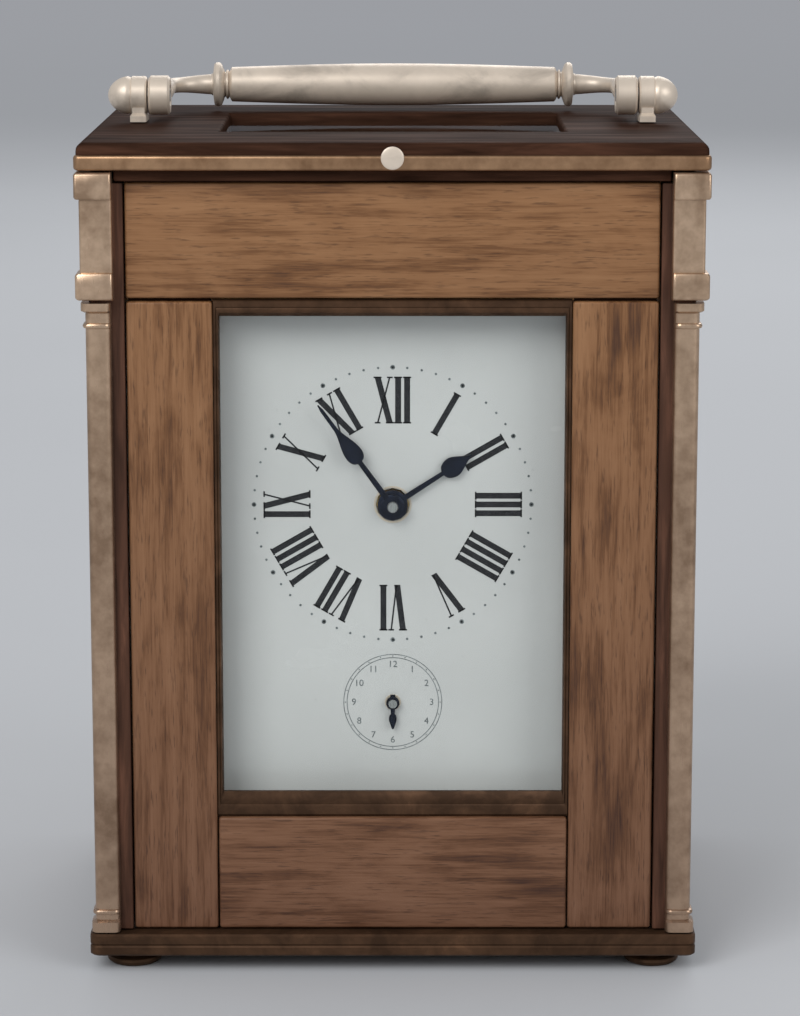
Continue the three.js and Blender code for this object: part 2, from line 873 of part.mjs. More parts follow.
// The swing handle, folded back at rest: a turned grip on two curved arms that end in eyes.
function makeHandle() {
  const grip = turnedX(
    [
      [0, -gripHalfLength - gripCollarWidth],
      [gripCollarRadius - gripGroove, -gripHalfLength - gripCollarWidth],
      [gripCollarRadius - gripGroove, -gripHalfLength],
      [gripNeckRadius, -gripHalfLength],
      [gripNeckRadius, -gripHalfLength + gripCollarWidth / 2],
      [gripRadius, -gripHalfLength + gripCollarWidth],
      [gripRadius, gripHalfLength - gripCollarWidth],
      [gripNeckRadius, gripHalfLength - gripCollarWidth / 2],
      [gripNeckRadius, gripHalfLength],
      [gripCollarRadius - gripGroove, gripHalfLength],
      [gripCollarRadius - gripGroove, gripHalfLength + gripCollarWidth],
      [0, gripHalfLength + gripCollarWidth],
    ],
    handleReach,
    handleAxisZ,
    roundSteps / 2,
  );
  const path = new THREE.CurvePath();
  const start = new THREE.Vector3(armSpan, eyeRadius / 2, handleAxisZ);
  const bendStart = new THREE.Vector3(armSpan, handleReach - armBend, handleAxisZ);
  const corner = new THREE.Vector3(armSpan, handleReach, handleAxisZ);
  const bendEnd = new THREE.Vector3(armSpan - armBend, handleReach, handleAxisZ);
  const end = new THREE.Vector3(gripHalfLength, handleReach, handleAxisZ);
  path.add(new THREE.LineCurve3(start, bendStart));
  path.add(new THREE.QuadraticBezierCurve3(bendStart, corner, bendEnd));
  path.add(new THREE.LineCurve3(bendEnd, end));
  const section = [];
  for (let i = 0; i < tinySteps; i++) {
    const angle = ((i + 0.5) * 2 * Math.PI) / tinySteps;
    section.push([armRadius * Math.cos(angle), armRadius * Math.sin(angle)]);
  }
  const arm = new THREE.ExtrudeGeometry(new THREE.Shape(vector2(section)), {
    steps: smallSteps,
    extrudePath: path,
  });
  const eye = rodX(eyeRadius, 0, handleAxisZ, armSpan - eyeWidth / 2, armSpan + eyeWidth / 2);
  const bore = rodX(
    pinRadius + clearance,
    0,
    handleAxisZ,
    armSpan - eyeWidth / 2 - overrun,
    armSpan + eyeWidth / 2 + overrun,
    tinySteps,
  );
  const rightArm = cut(join(arm, eye), bore);
  addPiece("handle", join(grip, rightArm, mirrorX(rightArm)), "brass");
}

// Each bracket stands on the cornice outside an arm and carries the pin that the eye turns on. Its head ends
// outside in a domed knob.
function makeBrackets() {
  const foot = corniceTop + clearance;
  const post = block(bracketIn, bracketOut, -bracketLength / 2, bracketLength / 2, foot, handleAxisZ);
  const outline = [
    [0, bracketIn],
    [bracketLength / 2, bracketIn],
  ];
  for (let i = 0; i <= tinySteps / 2; i++) {
    const angle = (i * Math.PI) / tinySteps;
    const radius = i < tinySteps / 2 ? (bracketLength / 2) * Math.cos(angle) : 0;
    outline.push([radius, bracketOut + bracketKnob * Math.sin(angle)]);
  }
  const head = turnedX(outline, 0, handleAxisZ, smallSteps);
  const pin = rodX(pinRadius, 0, handleAxisZ, armSpan - eyeWidth / 2, bracketIn + overrun, tinySteps);
  const bracket = join(post, head, pin);
  addPiece("handle_bracket_right", bracket, "brass");
  addPiece("handle_bracket_left", mirrorX(bracket), "brass");
}

// The enamelled dial stands on four feet off the front plate.
function makeDial() {
  const half = dialWidth / 2;
  const plate = block(-half, half, dialFrontY, dialBackY, dialLow, dialHigh);
  const footX = plateHalfWidth - dialFootInset;
  const footEnd = frontPlateY - clearance;
  const feet = [dialLow + dialFootInset, dialHigh - dialFootInset].flatMap((z) => [
    rodY(dialFootRadius, -footX, z, dialBackY - dialThickness / 2, footEnd, tinySteps),
    rodY(dialFootRadius, footX, z, dialBackY - dialThickness / 2, footEnd, tinySteps),
  ]);
  const holes = [
    rodY(dialHole, 0, dialCentre, dialFrontY - overrun, dialBackY + overrun),
    rodY(
      alarmArborRadius + clearance, 0, subdialCentre, dialFrontY - overrun, dialBackY + overrun, tinySteps,
    ),
  ];
  addPiece("dial", cut(join(plate, ...feet), ...holes), "enamel");
}

// A tapering hand with a swelling along it, pointing up from its hub before it is turned.
function hand(length, width, bulge, bulgeShare, hub, bore, angle, z, y0, y1) {
  const turn = degrees(-angle);
  const bulgeAt = bulgeShare * length;
  const tip = (handTipShare * width) / 2;
  const blade = [
    [-width / 2, 0],
    [width / 2, 0],
    [width / 2, bulgeAt - bulge],
    [bulge, bulgeAt],
    [width / 2, bulgeAt + bulge],
    [tip, length],
    [-tip, length],
    [-width / 2, bulgeAt + bulge],
    [-bulge, bulgeAt],
    [-width / 2, bulgeAt - bulge],
  ].map(([u, v]) => [u * Math.cos(turn) - v * Math.sin(turn), u * Math.sin(turn) + v * Math.cos(turn)]);
  const solid = join(plateY(blade, y0, y1), rodY(hub, 0, 0, y0, y1));
  return cut(solid, rodY(bore, 0, 0, y0 - overrun, y1 + overrun)).translate(0, 0, z);
}

const pipeBore = arborRadius + clearance;
const pipeRadius = pipeBore + pipeWall;

function makeHands() {
  addPiece(
    "hour_hand",
    hand(
      hourHandLength, hourHandWidth, hourHandBulge, hourBulgeShare, hourHubRadius, pipeRadius + clearance,
      hourHandAngle, dialCentre, hourHandY0, hourHandY1,
    ),
    "blued",
  );
  addPiece(
    "minute_hand",
    hand(
      minuteHandLength, minuteHandWidth, minuteHandBulge, minuteBulgeShare, minuteHubRadius,
      arborRadius + clearance, minuteHandAngle, dialCentre, minuteHandY0, minuteHandY1,
    ),
    "blued",
  );
  addPiece(
    "alarm_hand",
    hand(
      alarmHandLength, alarmHandWidth, alarmHandBulge, alarmBulgeShare, alarmHubRadius,
      alarmArborRadius + clearance, alarmHandAngle, subdialCentre, hourHandY0, hourHandY1,
    ),
    "blued",
  );
}

// Two plates held apart by four pillars, standing on the base, with a hole for each arbor that passes.
function makeMovementFrame() {
  const w = plateHalfWidth;
  const outline = [[-w, bodyBottom], [w, bodyBottom], [w, plateHigh], [-w, plateHigh]];
  const through = (radius, x, z, y0) =>
    rodY(radius + plateHole, x, z, y0 - overrun, y0 + plateThickness + overrun, tinySteps);
  const front = cut(
    plateY(outline, frontPlateY, frontPlateBackY),
    through(arborRadius, 0, dialCentre, frontPlateY),
    through(alarmArborRadius, 0, subdialCentre, frontPlateY),
  );
  addPiece("front_plate", front, "movementBrass");
  const back = cut(
    plateY(outline, backPlateY, backPlateBackY),
    through(arborRadius, 0, dialCentre, backPlateY),
    through(alarmArborRadius, 0, subdialCentre, backPlateY),
    through(winderRadius, barrelSpread, barrelHeight, backPlateY),
    through(winderRadius, -barrelSpread, barrelHeight, backPlateY),
    through(winderRadius, -alarmBarrelAcross, alarmBarrelHeight, backPlateY),
  );
  addPiece("back_plate", back, "movementBrass");
  const x = plateHalfWidth - pillarInset;
  const pillar = (side, z) => rodY(
    pillarRadius, side * x, z, frontPlateBackY + clearance, backPlateY - clearance,
  );
  addPiece("pillar_lower_left", pillar(-1, pillarLow), "movementBrass");
  addPiece("pillar_lower_right", pillar(1, pillarLow), "movementBrass");
  addPiece("pillar_upper_left", pillar(-1, pillarHigh), "movementBrass");
  addPiece("pillar_upper_right", pillar(1, pillarHigh), "movementBrass");
}

// A barrel: a drum for the mainspring with its great wheel at one end, bored for the winding arbor.
function barrel(x, drumFrom, drumTo, wheelFrom, pointing) {
  const solid = join(
    turnedY(rodProfile(drumRadius, drumFrom, drumTo), x, barrelHeight),
    pinion(greatTeeth, greatModule, pointing, x, barrelHeight, wheelFrom, wheelFrom + greatThickness),
  );
  const from = Math.min(drumFrom, wheelFrom) - overrun;
  const to = Math.max(drumTo, wheelFrom + greatThickness) + overrun;
  return cut(solid, rodY(winderRadius + clearance, x, barrelHeight, from, to));
}

// The winding arbor runs from the front plate through its barrel and ends in a square behind the back plate.
function winder(x, z) {
  const squareFrom = backPlateBackY + plateThickness;
  return join(
    rodY(winderRadius, x, z, frontPlateBackY + clearance, squareFrom),
    rodY(winderSquare, x, z, squareFrom - overrun, backPlateBackY + winderReach, squareSides),
  );
}

function makeBarrels() {
  const strikeWheelY = drumBack - greatThickness;
  const goingPhase = facingGap(greatTeeth, greatToCentre + Math.PI);
  addPiece(
    "going_barrel",
    barrel(barrelSpread, greatY0, strikeWheelY - clearance, greatY0, goingPhase),
    "movementBrass",
  );
  addPiece(
    "strike_barrel",
    barrel(-barrelSpread, greatY1 + greatThickness, drumBack, drumBack, 0),
    "movementBrass",
  );
  addPiece("winding_arbor_going", winder(barrelSpread, barrelHeight), "steel");
  addPiece("winding_arbor_strike", winder(-barrelSpread, barrelHeight), "steel");
  const alarmDrumY = frontPlateBackY + alarmDrumSetbackShare * plateSpacing;
  const alarmDrumEnd = alarmDrumY + alarmDrumLengthShare * plateSpacing;
  const alarmDrum = rodProfile(alarmDrumRadius, alarmDrumY, alarmDrumEnd);
  const alarmBarrel = join(
    turnedY(alarmDrum, -alarmBarrelAcross, alarmBarrelHeight),
    winder(-alarmBarrelAcross, alarmBarrelHeight),
  );
  addPiece("alarm_barrel", alarmBarrel, "movementBrass");
}

// The centre arbor carries its pinion, the centre wheel and the cannon pinion, and the minute hand in front.
function makeCentreArbor() {
  const pinionY = (greatY0 + greatY1) / 2;
  const cannonY0 = minuteWheelY0 - clearance;
  const solid = join(
    rodY(arborRadius, 0, dialCentre, minuteHandY0 - handSpacing, backPlateBackY + setterReach),
    pinion(
      centrePinionLeaves, greatModule, greatToCentre + Math.PI, 0, dialCentre,
      pinionY - pinionLength / 2, pinionY + pinionLength / 2,
    ),
    wheel(centreTeeth, centreModule, facingGap(centreTeeth, centreToThird + Math.PI), 0, dialCentre,
      centreWheelY, centreWheelY + wheelThickness),
    pinion(
      cannonLeaves, motionModule, degrees(motionAngle), 0, dialCentre, cannonY0, minuteWheelY1 + clearance,
    ),
  );
  addPiece("centre_arbor", solid, "movementBrass");
}

function makeThirdWheel() {
  const pinionY = centreWheelY + wheelThickness / 2;
  const solid = join(
    rodY(arborRadius, thirdX, thirdZ, frontPlateBackY + clearance, backPlateY - clearance),
    pinion(
      thirdPinionLeaves, centreModule, centreToThird + Math.PI, thirdX, thirdZ,
      pinionY - pinionLength / 2, pinionY + pinionLength / 2,
    ),
    wheel(thirdTeeth, thirdModule, facingGap(thirdTeeth, thirdToContrate + Math.PI), thirdX, thirdZ,
      thirdWheelY, thirdWheelY + wheelThickness),
  );
  addPiece("third_wheel", solid, "movementBrass");
}

// The contrate wheel turns the drive upwards: its teeth stand out of its face, towards the escape pinion.
function makeContrateWheel() {
  const pinionY = thirdWheelY + wheelThickness / 2;
  const rimInner = contrateRadius - wheelRim;
  const disc = turnedY(
    [
      [0, contrateY],
      [contrateRadius, contrateY],
      [contrateRadius, contrateY + contrateRimHeight],
      [rimInner, contrateY + contrateRimHeight],
      [rimInner, contrateY + contrateRimHeight / 2],
      [0, contrateY + contrateRimHeight / 2],
    ],
    0,
    contrateZ,
  );
  const toothFrom = contrateY + contrateRimHeight / 2;
  const toothWidth = (toothRootShare * 2 * Math.PI * rimInner) / contrateTeeth;
  const teeth = [];
  for (let i = 0; i < contrateTeeth; i++) {
    const tooth = block(
      rimInner + wheelRim / 4,
      contrateRadius - wheelRim / 8,
      toothFrom,
      contrateFace,
      -toothWidth / 2,
      toothWidth / 2,
    );
    teeth.push(tooth.rotateY((i * 2 * Math.PI) / contrateTeeth).translate(0, 0, contrateZ));
  }
  const solid = join(
    rodY(arborRadius, 0, contrateZ, frontPlateBackY + clearance, backPlateY - clearance),
    pinion(
      contratePinionLeaves, thirdModule, thirdToContrate + Math.PI, 0, contrateZ,
      pinionY - pinionLength / 2, pinionY + pinionLength / 2,
    ),
    disc,
    ...teeth,
  );
  addPiece("contrate_wheel", solid, "movementBrass");
}

// Motion work behind the dial: the minute wheel turns the hour wheel, whose pipe carries the hour hand.
function makeMotionWork() {
  const along = degrees(motionAngle);
  const minuteWheel = join(
    rodY(arborRadius, motionX, motionZ, hourWheelY0, frontPlateY - clearance, tinySteps),
    pinion(
      minutePinionLeaves, hourModule, along + Math.PI, motionX, motionZ,
      hourWheelY0, minuteWheelY0 + wheelThickness / 2,
    ),
    wheel(minuteWheelTeeth, motionModule, facingGap(minuteWheelTeeth, along), motionX, motionZ,
      minuteWheelY0, minuteWheelY1),
  );
  addPiece("minute_wheel", minuteWheel, "movementBrass");
  const pipe = rodY(pipeRadius, 0, dialCentre, hourHandY0 - clearance, hourWheelY1 + clearance);
  const bore = rodY(
    pipeBore, 0, dialCentre, hourHandY0 - clearance - overrun, hourWheelY1 + clearance + overrun,
  );
  const hourWheel = cut(
    join(
      pipe,
      wheel(hourWheelTeeth, hourModule, facingGap(hourWheelTeeth, along + Math.PI), 0, dialCentre,
        hourWheelY0, hourWheelY1),
    ),
    bore,
  );
  addPiece("hour_wheel", hourWheel, "movementBrass");
}

// The alarm arbor runs from the small hand back to its setting end.
function makeAlarmArbor() {
  addPiece(
    "alarm_arbor",
    rodY(alarmArborRadius, 0, subdialCentre, hourHandY0 - clearance, backPlateBackY + setterReach),
    "steel",
  );
}

// The platform lies across the plates and carries the escapement under its own bridge.
function makePlatform() {
  const w = platformHalfWidth;
  const outline = [
    [-w, frontPlateY],
    [w, frontPlateY],
    [w, backPlateBackY],
    [-w, backPlateBackY],
  ];
  const bridgeZ = platformTop + bridgeLift;
  const footX = escapeRadius + clearance + bridgeFoot / 2 + overrun;
  const solid = join(
    plateZ(outline, platformBottom, platformTop),
    block(footX, footX + bridgeFoot, escapeY - bridgeWidth / 2, escapeY + bridgeWidth / 2,
      platformTop - overrun / 2, bridgeZ + bridgeThickness),
    block(-bridgeReach, footX + bridgeFoot, escapeY - bridgeWidth / 2, escapeY + bridgeWidth / 2,
      bridgeZ, bridgeZ + bridgeThickness),
  );
  const hole = rodZ(
    staffRadius + clearance, 0, escapeY, platformBottom - overrun, platformTop + overrun, tinySteps,
  );
  addPiece("platform", cut(solid, hole), "steel");
}

// The escape wheel stands on a vertical arbor, its pinion reaching down to the contrate wheel.
function makeEscapeWheel() {
  const pinionTop = platformBottom - overrun;
  const pinionBottom = contrateZ + contrateRadius - wheelRim;
  const discZ = platformTop + escapeLift;
  const outline = [];
  for (let i = 0; i < escapeTeeth; i++) {
    const angle = (i * 2 * Math.PI) / escapeTeeth;
    const next = angle + Math.PI / escapeTeeth;
    const root = escapeRadius - wheelThickness;
    outline.push([escapeRadius * Math.cos(angle), escapeRadius * Math.sin(angle)]);
    outline.push([root * Math.cos(next), root * Math.sin(next)]);
  }
  const solid = join(
    rodZ(staffRadius, 0, escapeY, pinionBottom, platformTop + bridgeLift - clearance, tinySteps),
    rodZ(escapePinionRadius, 0, escapeY, pinionBottom, pinionTop, tinySteps),
    plateZ(outline, discZ, discZ + escapeThickness).translate(0, escapeY, 0),
  );
  addPiece("escape_wheel", solid, "steel");
}

// The lever rocks between the escape wheel and the balance.
function makeLever() {
  const z0 = platformTop + leverLift;
  const z1 = z0 + escapeThickness;
  const bar = block(-leverWidth / 2, leverWidth / 2, leverY - leverLength, leverY + leverWidth, z0, z1);
  const pallets = block(-palletSpan, palletSpan, leverY - leverWidth / 2, leverY + leverWidth / 2, z0, z1);
  const staff = rodZ(staffRadius, 0, leverY, platformTop + clearance, z1 + clearance, tinySteps);
  addPiece("pallet_lever", join(bar, pallets, staff), "steel");
}

// The balance: a rim on two arms round its staff.
function makeBalance() {
  const z0 = platformTop + balanceLift;
  const z1 = z0 + balanceThickness;
  const rim = turnedZ(ringProfile(balanceRadius - balanceRim, balanceRadius, z0, z1), 0, balanceY);
  const arm = block(
    -balanceRadius + balanceRim / 2, balanceRadius - balanceRim / 2,
    balanceY - spokeWidth / 2, balanceY + spokeWidth / 2, z0, z1,
  );
  const staff = rodZ(
    staffRadius, 0, balanceY, platformTop + clearance, platformTop + cockLift - clearance, tinySteps,
  );
  addPiece("balance_wheel", join(rim, arm, staff), "movementBrass");
}

// The cock rises beside the balance and reaches over it; the regulator turns on top of it.
function makeCock() {
  const z0 = platformTop + cockLift;
  const z1 = z0 + bridgeThickness;
  const low = z1 + clearance;
  const high = low + regulatorThickness;
  const footOut = balanceRadius + clearance + bridgeFoot + overrun;
  const cock = join(
    block(-footOut, -footOut + bridgeFoot, balanceY - bridgeWidth / 2, balanceY + bridgeWidth / 2,
      platformTop + clearance, z1),
    block(-footOut, bridgeReach, balanceY - bridgeWidth / 2, balanceY + bridgeWidth / 2, z0, z1),
    rodZ(staffRadius, 0, balanceY, z1 - bridgeThickness / 2, high + clearance, tinySteps),
  );
  addPiece("balance_cock", cock, "steel");
  const index = join(
    rodZ(regulatorRadius, 0, balanceY, low, high),
    block(-regulatorWidth / 2, regulatorWidth / 2, balanceY - regulatorLength, balanceY, low, high),
  );
  const bore = rodZ(staffRadius + clearance, 0, balanceY, low - overrun, high + overrun, tinySteps);
  addPiece("regulator", cut(index, bore), "blued");
}

const gongY = backPlateBackY + gongLift + gongWire / 2;

// The gong: one wire wound in a flat spiral behind the back plate, held by a block at its outer end.
function makeGong() {
  const steps = gongTurns * gongStepsPerTurn;
  const centreAt = (turns) => gongInnerRadius + gongPitch * turns;
  const positions = [];
  const faces = [];
  for (let i = 0; i <= steps; i++) {
    const turns = i / gongStepsPerTurn;
    const angle = 2 * Math.PI * turns;
    for (let k = 0; k < wireSides; k++) {
      const around = (2 * Math.PI * k) / wireSides;
      const radius = centreAt(turns) + (gongWire / 2) * Math.cos(around);
      positions.push(
        radius * Math.cos(angle),
        gongY + (gongWire / 2) * Math.sin(around),
        gongHeight + radius * Math.sin(angle),
      );
    }
  }
  for (let i = 0; i < steps; i++) {
    for (let k = 0; k < wireSides; k++) {
      const a = i * wireSides + k;
      const b = i * wireSides + ((k + 1) % wireSides);
      faces.push(a, b, b + wireSides, a, b + wireSides, a + wireSides);
    }
  }
  const last = steps * wireSides;
  for (let k = 1; k < wireSides - 1; k++) {
    faces.push(0, k + 1, k, last, last + k, last + k + 1);
  }
  const wire = new THREE.BufferGeometry();
  wire.setAttribute("position", new THREE.Float32BufferAttribute(positions, 3));
  wire.setIndex(faces);
  const endX = -centreAt(gongTurns);
  const holder = block(
    endX - gongBlock / 2, endX + gongBlock / 2,
    backPlateBackY + clearance, gongY + gongWire,
    gongHeight - gongBlock, gongHeight + gongBlock / 2,
  );
  console.log("gong least gap to itself " + (gongPitch - gongWire).toFixed(2) + " mm");
  addPiece("gong", join(wire, holder), "steel");
}

// The hammer hangs from its pivot beside the gong's outer turn.
function makeHammer() {
  const outer = gongInnerRadius + gongPitch * gongTurns + gongWire / 2;
  const reach = outer + hammerRestGap + hammerHeadRadius;
  const headX = reach * Math.cos(degrees(hammerHeadAngle));
  const headZ = gongHeight + reach * Math.sin(degrees(hammerHeadAngle));
  const dx = headX - hammerAcross;
  const dz = headZ - hammerHeight;
  const length = Math.hypot(dx, dz);
  const half = hammerArmWidth / 2;
  const arm = block(-half, half, gongY - half, gongY + half, -length, 0);
  arm.rotateY(-Math.atan2(dx, -dz)).translate(hammerAcross, 0, hammerHeight);
  const solid = join(
    arm,
    rodY(hammerHeadRadius, headX, headZ, gongY - hammerHeadLength / 2, gongY + hammerHeadLength / 2),
    rodY(hammerArmWidth, hammerAcross, hammerHeight, backPlateBackY + clearance, gongY + hammerArmWidth),
  );
  addPiece("hammer", solid, "steel");
}

makeFeet();
makeBase();
makeColumns();
makeFriezes();
makeFrontFrame();
makeSideFrames();
makeFrontWindow();
makeRearDoor();
makeCornice();
makeButton();
makeHandle();
makeBrackets();
makeDial();
makeHands();
makeMovementFrame();
makeBarrels();
makeCentreArbor();
makeThirdWheel();
makeContrateWheel();
makeMotionWork();
makeAlarmArbor();
makePlatform();
makeEscapeWheel();
makeLever();
makeBalance();
makeCock();
makeGong();
makeHammer();

export default clock;
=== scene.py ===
"""Dresses a carriage clock: wood panels and brass corners, dial and hands, glass, and the whole movement."""

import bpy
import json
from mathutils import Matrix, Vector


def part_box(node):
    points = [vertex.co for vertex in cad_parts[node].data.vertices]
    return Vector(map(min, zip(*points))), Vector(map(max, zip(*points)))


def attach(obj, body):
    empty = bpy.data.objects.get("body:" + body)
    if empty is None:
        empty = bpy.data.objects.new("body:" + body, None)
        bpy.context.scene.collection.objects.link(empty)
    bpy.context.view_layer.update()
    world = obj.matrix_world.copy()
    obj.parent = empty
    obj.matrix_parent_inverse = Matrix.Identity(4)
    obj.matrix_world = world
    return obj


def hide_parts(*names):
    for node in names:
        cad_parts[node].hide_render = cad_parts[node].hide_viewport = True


bl_info = {
    "name": "Carriage Clock", "version": (1, 0, 0), "blender": (4, 5, 0),
    "location": "View3D > Sidebar > Clock",
    "description": "Dresses a carriage clock in wood, brass, enamel and glass, and lights it",
    "category": "Add Mesh",
}

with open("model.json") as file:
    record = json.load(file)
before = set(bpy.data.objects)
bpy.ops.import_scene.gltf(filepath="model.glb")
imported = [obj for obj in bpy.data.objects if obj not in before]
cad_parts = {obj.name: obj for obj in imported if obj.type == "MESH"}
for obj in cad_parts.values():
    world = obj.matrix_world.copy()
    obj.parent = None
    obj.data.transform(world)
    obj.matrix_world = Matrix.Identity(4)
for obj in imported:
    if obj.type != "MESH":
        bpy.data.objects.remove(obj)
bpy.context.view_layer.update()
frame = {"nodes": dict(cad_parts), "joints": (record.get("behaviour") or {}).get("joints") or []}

import json

import bpy
import numpy as np
from bpy.props import FloatProperty, FloatVectorProperty, PointerProperty
from mathutils import Vector

# Shared lengths in metres, the steps round a curve, and the angle past which an edge stays sharp
BURY = 0.0003
EDGE = 0.0001
INK_HEIGHT = 0.00004
CORNER_STEPS = 5
ARC_STEPS = 6
FINE_STEPS = 24
MIDDLE_STEPS = 48
ROUND_STEPS = 72
SHARP_ANGLE = np.radians(32)
LEFT = (-1, 1, 1)
BRASS_AND_STEEL = ("wheel_brass", "bright_steel")

# For pieces drawn along an axis: the places of the two coordinates across it, then its own
AXES = {"X": (1, 2, 0), "Y": (0, 2, 1), "Z": (0, 1, 2)}

# Tooth counts and modules of the train, the great wheels' places, and the form of the teeth
GREAT_TEETH = 54
GREAT_MODULE = 0.002 / 3
GREAT_THICKNESS = 0.0016
GREAT_SETBACK = 0.003
CENTRE_PINION_LEAVES = 8
CENTRE_TEETH = 45
THIRD_PINION_LEAVES = 8
THIRD_TEETH = 40
TRAIN_MODULE = 0.0006
CONTRATE_PINION_LEAVES = 6
CONTRATE_TEETH = 36
CANNON_LEAVES = 8
MINUTE_WHEEL_TEETH = 24
MINUTE_PINION_LEAVES = 8
HOUR_WHEEL_TEETH = 32
MOTION_MODULE = 0.000675
PINION_LENGTH = 0.0028
WHEEL_THICKNESS = 0.001
WHEEL_RIM = 0.0016
ARBOR_RADIUS = 0.001
ADDENDUM_SHARE = 0.62
DEDENDUM_SHARE = 0.95
TOOTH_STEPS = 10
SPOKES = 4
CROSSING = (np.arange(SPOKES) + 0.5) * 2 * np.pi / SPOKES


def number(name, description, default, **kind):
    """A number that a user may change, with its unit or subtype."""
    return FloatProperty(name=name, description=description, default=default, **kind)


def length(name, description, default):
    """A size in metres that a user may change."""
    return number(name, description, default, unit="LENGTH")


def tint(name, description, default):
    """A colour in linear light that a user may change."""
    return FloatVectorProperty(name=name, description=description, default=default, subtype="COLOR")


class ClockCase(bpy.types.PropertyGroup):
    """Sizes of the case's mouldings and edges."""

    panel_edge: length("Panel edge", "Radius of the panels' edges", 0.0005)
    shaft_edge: length("Shaft edge", "Radius of the columns' long edges", 0.0012)
    block_edge: length("Block edge", "Radius of the corner blocks' edges", 0.0005)
    cornice_round: length("Cornice round", "Radius of the cornice's rounded front", 0.0015)
    grip_swell: length("Grip swell", "Swell in the middle of the grip", 0.0007)


class ClockDial(bpy.types.PropertyGroup):
    """Sizes of what is painted on the dial."""

    hours_inside: length("Hours inside", "Radius at the feet of the hours", 0.0147)
    hours_outside: length("Hours outside", "Radius at the heads of the hours", 0.0231)
    stem_width: length("Stem width", "Width of a thick stroke", 0.00105)
    minute_radius: length("Minute ring", "Radius of the ring of minute dots", 0.0248)
    alarm_ring: length("Alarm ring", "Radius of the alarm dial's ring", 0.0088)


class ClockColours(bpy.types.PropertyGroup):
    """Colours of the finishes, in linear light."""

    wood_light: tint("Wood, light", "Lightest grain", (0.286, 0.145, 0.066))
    wood_dark: tint("Wood, dark", "Darkest grain", (0.050, 0.022, 0.011))
    # Painted shade: the tint that darkens the wood towards the base
    wood_low: tint("Wood, low", "Tint of the wood near the base", (0.60, 0.59, 0.78))
    dark_wood: tint("Dark wood", "Ebonised cap and grooves", (0.040, 0.018, 0.011))
    corner_brass: tint("Corner brass", "Rosy brass of the case", (0.60, 0.43, 0.295))
    handle_brass: tint("Handle brass", "Rubbed brass", (0.76, 0.65, 0.535))
    dark_brass: tint("Dark brass", "Dark patina", (0.050, 0.026, 0.014))
    plate_brass: tint("Plate brass", "Grained brass of the movement", (0.70, 0.49, 0.20))
    steel: tint("Steel", "Bright steel", (0.52, 0.52, 0.51))
    blued: tint("Blued steel", "Hands and screws", (0.010, 0.014, 0.028))
    enamel: tint("Enamel", "Dial", (0.60, 0.588, 0.588))


class ClockStage(bpy.types.PropertyGroup):
    """Camera and light."""

    camera_distance: length("Distance", "From the camera to the clock's middle", 0.63)
    camera_height: length("Height", "Height of the camera", 0.199)
    camera_side: length("Side", "How far to the right the camera stands", 0.0013)
    camera_pitch: number("Pitch", "How far down the camera looks", np.radians(11.0), subtype="ANGLE")
    lens: number("Lens", "Focal length in mm on a 36 mm frame", 120.5)
    key_power: number("Key light", "Power of the main light", 14.0, unit="POWER")
    fill_power: number("Fill light", "Power of each other light", 5.6, unit="POWER")
    sky: number("Sky", "Strength of the light from all round", 0.66)
    floor_colour: tint("Floor", "Pale floor", (0.47, 0.48, 0.50))
    backdrop_colour: tint("Backdrop", "Tone far behind the clock", (0.33, 0.34, 0.365))


# Shells: each is one closed skin, as points, faces and the number of its finish


class Shell:
    """One closed skin. Its faces are turned round if its volume comes out negative."""

    def __init__(self, points, quads, caps=(), finish=0):
        self.points = np.asarray(points, float).reshape(-1, 3)
        self.quads = quads
        self.caps = caps
        self.finish = finish
        if self.volume() < 0:
            self.quads = quads[:, ::-1]
            self.caps = [cap[::-1] for cap in caps]

    def volume(self):
        """Sum over the faces, cut into fans of triangles, of a times the cross product of b and c."""
        middle = self.points - self.points.mean(0)
        a, b, c, d = (middle[self.quads[:, k]] for k in range(4))
        total = np.einsum("ij,ij->", a, np.cross(b, c)) + np.einsum("ij,ij->", a, np.cross(c, d))
        for cap in self.caps:
            fan = middle[cap]
            total += np.einsum("j,ij->", fan[0], np.cross(fan[1:-1], fan[2:]))
        return total

    def mirrored(self, signs):
        """Each coordinate times its sign, 1 or -1."""
        return Shell(self.points * signs, self.quads, self.caps, self.finish)


def grid_quads(rows, columns, closed_rows):
    """Quads of a grid of points: each joins a point to the next one across, which wraps, and the next row."""
    row, column = np.mgrid[0 : rows if closed_rows else rows - 1, 0:columns]
    here = row * columns
    beyond = (row + 1) % rows * columns
    beside = (column + 1) % columns
    return np.stack([here + column, here + beside, beyond + beside, beyond + column], axis=-1).reshape(-1, 4)


def loft(rings, finish=0):
    """A skin through closed rings of points, with a flat cap on the first ring and on the last."""
    rows, columns = rings.shape[:2]
    caps = [np.arange(columns)[::-1], (rows - 1) * columns + np.arange(columns)]
    return Shell(rings, grid_quads(rows, columns, False), caps, finish)


def band(rings, finish=0):
    """A skin through closed rings of points that ends on its first ring, as a torus does."""
    rows, columns = rings.shape[:2]
    return Shell(rings, grid_quads(rows, columns, True), (), finish)


def spread(across, up, along, axis):
    """Points from two coordinates across an axis, in the order that AXES gives, and one along it."""
    points = np.zeros(np.broadcast_shapes(np.shape(across), np.shape(up), np.shape(along)) + (3,))
    for place, values in zip(AXES[axis], (across, up, along)):
        points[..., place] = values
    return points


def circle(steps):
    return np.linspace(0, 2 * np.pi, steps, endpoint=False)


def around(centre, radius, angle, height, axis):
    """Points round a centre: radius times cosine and sine of the angle, at a height along the axis."""
    return spread(centre[0] + radius * np.cos(angle), centre[1] + radius * np.sin(angle), height, axis)


def rim_rings(pairs, centre, angle, axis):
    """Rings round a centre from pairs of radius and height, each one number or one for every angle."""
    return np.array([around(centre, radius, angle, height, axis) for radius, height in pairs])


